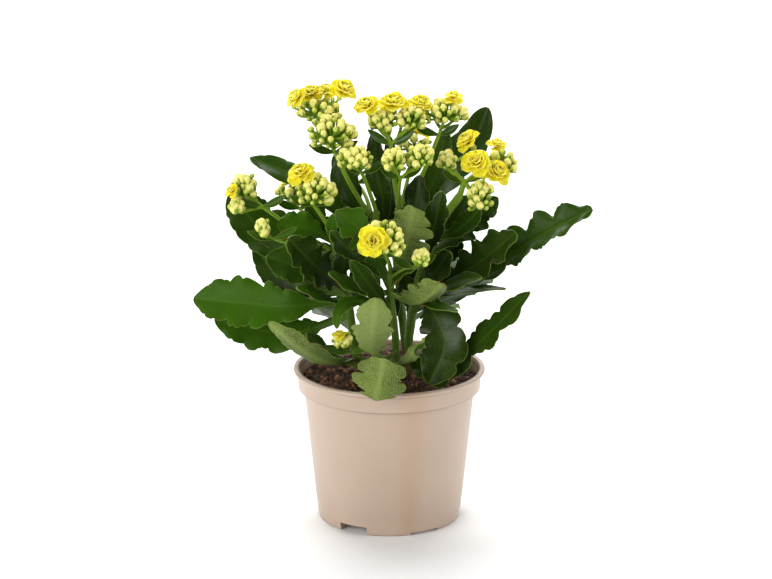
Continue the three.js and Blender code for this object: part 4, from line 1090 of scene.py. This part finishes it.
def open_bloom(name, bloom, seed):
    """A double bloom: petals on a spiral of golden angles, flat outside and closing up to the middle."""
    _, facing, seat = bloom_seat(bloom)
    radius = bloom[1]
    across = unit(np.cross(facing, [0.3, 1.0, 0.2]))
    other = np.cross(facing, across)
    count = BLOOM_PETALS["large"] if radius > BLOOM_PETALS["large_from"] else BLOOM_PETALS["small"]
    places, turns, sizes, tones = [], [], [], []
    for k in range(count):
        inner = k / (count - 1)
        angle = k * GOLDEN_ANGLE + seed
        out = across * math.cos(angle) + other * math.sin(angle)
        # the outer petals droop a little, and the inner ones stand nearly upright
        tilt = math.radians(-8 + 86 * inner**0.9 + 16 * (draw(seed + k * 1.3) - 0.5))
        along = out * math.cos(tilt) + facing * math.sin(tilt)
        normal = facing * math.cos(tilt) - out * math.sin(tilt)
        turns.append(Matrix((along, np.cross(normal, along), normal)).transposed().to_euler())
        places.append(seat + facing * radius * (0.06 + 0.20 * inner) + out * radius * 0.05)
        sizes.append(radius * (1.04 - 0.42 * inner) * (0.90 + 0.20 * draw(seed * 2 + k)))
        tones.append(draw(seed + k * 0.7))
    petals = grown(
        points_mesh(places, turns, sizes, tones), trees["scatter"], Shape=shapes["petal"], Least_size=0.95,
        Most_size=1.05, Seed=seed, Finish=finishes["petal"],
    )
    part_of(one_mesh(f"open_{name}", [petals]), "petal", name)


# ------------------------------------------------------------------ pot and soil

def rounded(profile, steps=4):
    """A profile of (radius, height, rounding) with each corner rounded by its own reach."""
    done = []
    points = [np.array(p[:2], float) for p in profile]
    for k, (point, (_, _, rounding)) in enumerate(zip(points, profile)):
        if rounding == 0 or k in (0, len(points) - 1):
            done.append(point)
            continue
        before, after = points[k - 1] - point, points[k + 1] - point
        cut = min(rounding, np.linalg.norm(before) * 0.48, np.linalg.norm(after) * 0.48)
        a, b = point + unit(before) * cut, point + unit(after) * cut
        for t in np.linspace(0, 1, steps + 1):
            done.append((1 - t) ** 2 * a + 2 * t * (1 - t) * point + t**2 * b)
    return done


def pot_profile():
    """Out over the base, up the outside, over the lip and down the inside."""
    top, wall, collar, lip = POT["height"], POT["wall"], POT["collar_radius"], POT["lip_radius"]
    foot, shoulder, mouth = POT["foot_radius"], POT["wall_top_radius"], POT["inner_top_radius"]
    ledge, collar_top = POT["collar_bottom"], POT["height"] - POT["lip_height"]
    return [
        (0.5, POT["floor_bottom"], 0), (POT["foot_inner_radius"] - 1, POT["floor_bottom"], 0.6),
        (POT["foot_inner_radius"], 0.0, 0.5), (foot - 0.5, 0.0, 2.0), (foot + 0.1, 3.2, 1.0),
        (foot + 1.15, 13.0, 0.0), (foot + 1.27, 13.15, 0.0),
        (shoulder, ledge - 0.5, 0.5), (shoulder + 0.4, ledge, 0.3),
        (collar - 0.1, ledge, 0.4), (collar + 0.4, collar_top - 0.2, 0.6),
        (lip - 0.8, collar_top - 0.05, 0.9), (lip, top - POT["lip_height"] / 2, 1.1), (lip - 0.8, top, 1.2),
        (mouth + 0.3, top, 1.0), (mouth - 0.3, top - 3.0, 1.0),
        (collar - wall, ledge + 1.5, 1.0), (shoulder - wall, ledge - 2, 1.0),
        (foot - wall, POT["floor_top"], 1.0), (0.5, POT["floor_top"], 0),
    ]


def pot():
    points, faces = skin(turned(rounded(pot_profile()), POT["sides"]))
    mesh = grown(
        mesh_of("pot_shell", points, faces), notch_tree(), Radius=POT["foot_radius"] * MM,
        Width=NOTCH["width"] * MM, Across=NOTCH["across"] * MM, Deep=NOTCH["deep"] * MM,
        Shallow=NOTCH["shallow"] * MM, Count=NOTCH["count"],
        First_angle=math.radians(NOTCH["first_angle"]), Finish=finishes["pot"],
    )
    mesh.shade_smooth()
    mesh.set_sharp_from_angle(angle=math.radians(35))
    part_of(one_mesh("nursery_pot", [mesh]), "pot", "pot")


def soil_height(x, y, share):
    """How high the peat stands at a point, where share is its distance from the axis."""
    wave = math.sin(x * 0.31 + 1) * math.cos(y * 0.37) + math.sin(x * 0.13 - y * 0.23)
    rough = noise.fractal(Vector((x, y, 3.0)) * 0.16, 0.7, 2.1, 5)
    return SOIL["top"] + SOIL["crown"] * (1 - share) + SOIL["grain"] * wave + 1.3 * rough


def crumb_shape():
    """A lumpy crumb 1 mm across."""
    rings = []
    for height, reach in ((-0.4, 0.25), (-0.12, 0.48), (0.2, 0.42), (0.42, 0.2)):
        ring = []
        for k in range(6):
            angle = k / 6 * 2 * math.pi
            x = reach * (0.75 + 0.5 * draw(k + height * 7)) * math.cos(angle)
            y = reach * (0.75 + 0.5 * draw(k * 2 + height)) * math.sin(angle)
            ring.append((x, y, height))
        rings.append(ring)
    return mesh_of("crumb_shape", *skin(rings))


def fibre_shape():
    """A thin curled fibre 10 mm long that lies along +X."""
    shares = np.linspace(0, 1, 9)
    way = np.stack([shares * 10 - 5, 1.4 * np.sin(shares * 5.0), 0.7 * np.sin(shares * 3.6 + 0.4)], 1)
    thick = 0.14 + 0 * shares
    return grown(paths_mesh([(way, thick)]), trees["stalks"], Sides=4, Finish=finishes["crumb"])


def soil():
    """The bed of peat inside the pot, with crumbs and fibres lying on its open part."""
    edge = POT["collar_radius"] - POT["wall"] - 0.6
    angles = np.arange(120) / 120 * 2 * math.pi
    foot = SOIL["bottom_radius"]
    rings = [[(foot * math.cos(a), foot * math.sin(a), SOIL["bottom"]) for a in angles]]
    for share in (1.0, 0.97, *np.linspace(0.93, 0.03, 34)):
        sunk = 1.2 if share == 1.0 else 0
        ring = [(edge * share * math.cos(a), edge * share * math.sin(a)) for a in angles]
        rings.append([(x, y, soil_height(x, y, share) - sunk) for x, y in ring])
    points, faces = skin(rings)
    from_axis = np.hypot(points[:, 0], points[:, 1])
    open_top = (points[:, 2] > SOIL["bottom"] + 5) & (from_axis < SOIL["litter_radius"])
    bed = mesh_of("peat_bed", points, faces, {"open_top": open_top.astype(float)})
    strewn = [
        grown(
            bed, trees["litter"], Shape=shapes[kind], Per_square_metre=count, Least_size=least,
            Most_size=most, Seed=seed, Tilt=tilt, Finish=finishes["crumb"],
        )
        for kind, count, least, most, seed, tilt in LITTER
    ]
    bed.materials.append(finishes["peat"])
    part_of(one_mesh("peat_soil", [bed, *strewn]), "soil", "soil")


# ------------------------------------------------------------------ room, light and camera

def floor():
    """A plain pale floor, with its reach in metres."""
    reach = 9.0
    corners = [(-reach, -reach, 0), (reach, -reach, 0), (reach, reach, 0), (-reach, reach, 0)]
    mesh = bpy.data.meshes.new("floor")
    mesh.from_pydata(corners, [], [(0, 1, 2, 3)])
    material = bpy.data.materials.new("plain pale floor")
    material.use_nodes = True
    inputs = material.node_tree.nodes["Principled BSDF"].inputs
    inputs["Base Color"].default_value = (0.97, 0.97, 0.965, 1.0)
    inputs["Roughness"].default_value = 0.9
    inputs["Specular IOR Level"].default_value = 0.1
    new_object("floor", mesh, material)


def area_light(name, place, aim, size, power):
    light = bpy.data.lights.new(name, "AREA")
    light.shape = "RECTANGLE"
    light.size, light.size_y = size
    light.energy = power
    lamp = new_object(name, light)
    lamp.location = place
    lamp.rotation_euler = (Vector(aim) - Vector(place)).to_track_quat("-Z", "Y").to_euler()


def lights():
    """Soft light from two sides, above and behind, with places and sizes in metres and power in watts."""
    area_light("left window", (-1.5, -1.4, 0.8), (0, 0, 0.15), (1.9, 1.3), 34)
    area_light("right window", (1.7, -0.7, 0.8), (0, 0, 0.15), (1.1, 1.3), 16)
    area_light("ceiling", (-0.2, 0.5, 1.7), (0, 0, 0.1), (1.2, 1.0), 18)
    area_light("far floor", (0.0, 3.2, 2.2), (0, 3.2, 0), (5.0, 3.0), 260)
    world = bpy.data.worlds.new("studio")
    world.use_nodes = True
    inputs = world.node_tree.nodes["Background"].inputs
    inputs["Color"].default_value = (1.0, 1.0, 1.0, 1.0)
    inputs["Strength"].default_value = 0.16
    bpy.context.scene.world = world


def camera():
    """A long lens that looks down on the front of the plant, as the photograph does."""
    lens = bpy.data.cameras.new("camera")
    lens.sensor_width = 36.0
    lens.sensor_fit = "HORIZONTAL"
    lens.lens = FOCAL_PIXELS * lens.sensor_width / FRAME_WIDTH
    eye = new_object("camera", lens)
    eye.location = Vector(EYE) * MM
    eye.rotation_euler = (math.pi / 2 - SIGHT_TILT, 0.0, 0.0)
    bpy.context.scene.camera = eye


# ------------------------------------------------------------------ everything in place

floor()
lights()
camera()
bpy.context.scene.view_settings.view_transform = "Standard"

flecks = speckle_group()
finishes = {
    "leaf": leaf_finish(), "stem": stem_finish(), "bud": bud_finish(), "petal": petal_finish(),
    "pot": pot_finish(), "peat": peat_finish(), "crumb": crumb_finish(),
}
trees = {"stalks": stalk_tree(), "scatter": scatter_tree(), "litter": litter_tree()}
shapes = {
    name: new_object(f"{name}_shape", make())
    for name, make in (
        ("bud", bud_shape), ("petal", petal_shape), ("urn", urn_shape), ("crumb", crumb_shape),
        ("fibre", fibre_shape),
    )
}

pot()
soil()
for stem_name in STEMS:
    leafy_stem(stem_name)
for spray_name, spray_row in SPRAYS.items():
    spray(spray_name)
    for number, bloom in enumerate(spray_row[5]):
        open_bloom(f"bloom_{spray_name}_{number + 1}", bloom, number + len(spray_name))
for shape in shapes.values():
    bpy.data.objects.remove(shape)
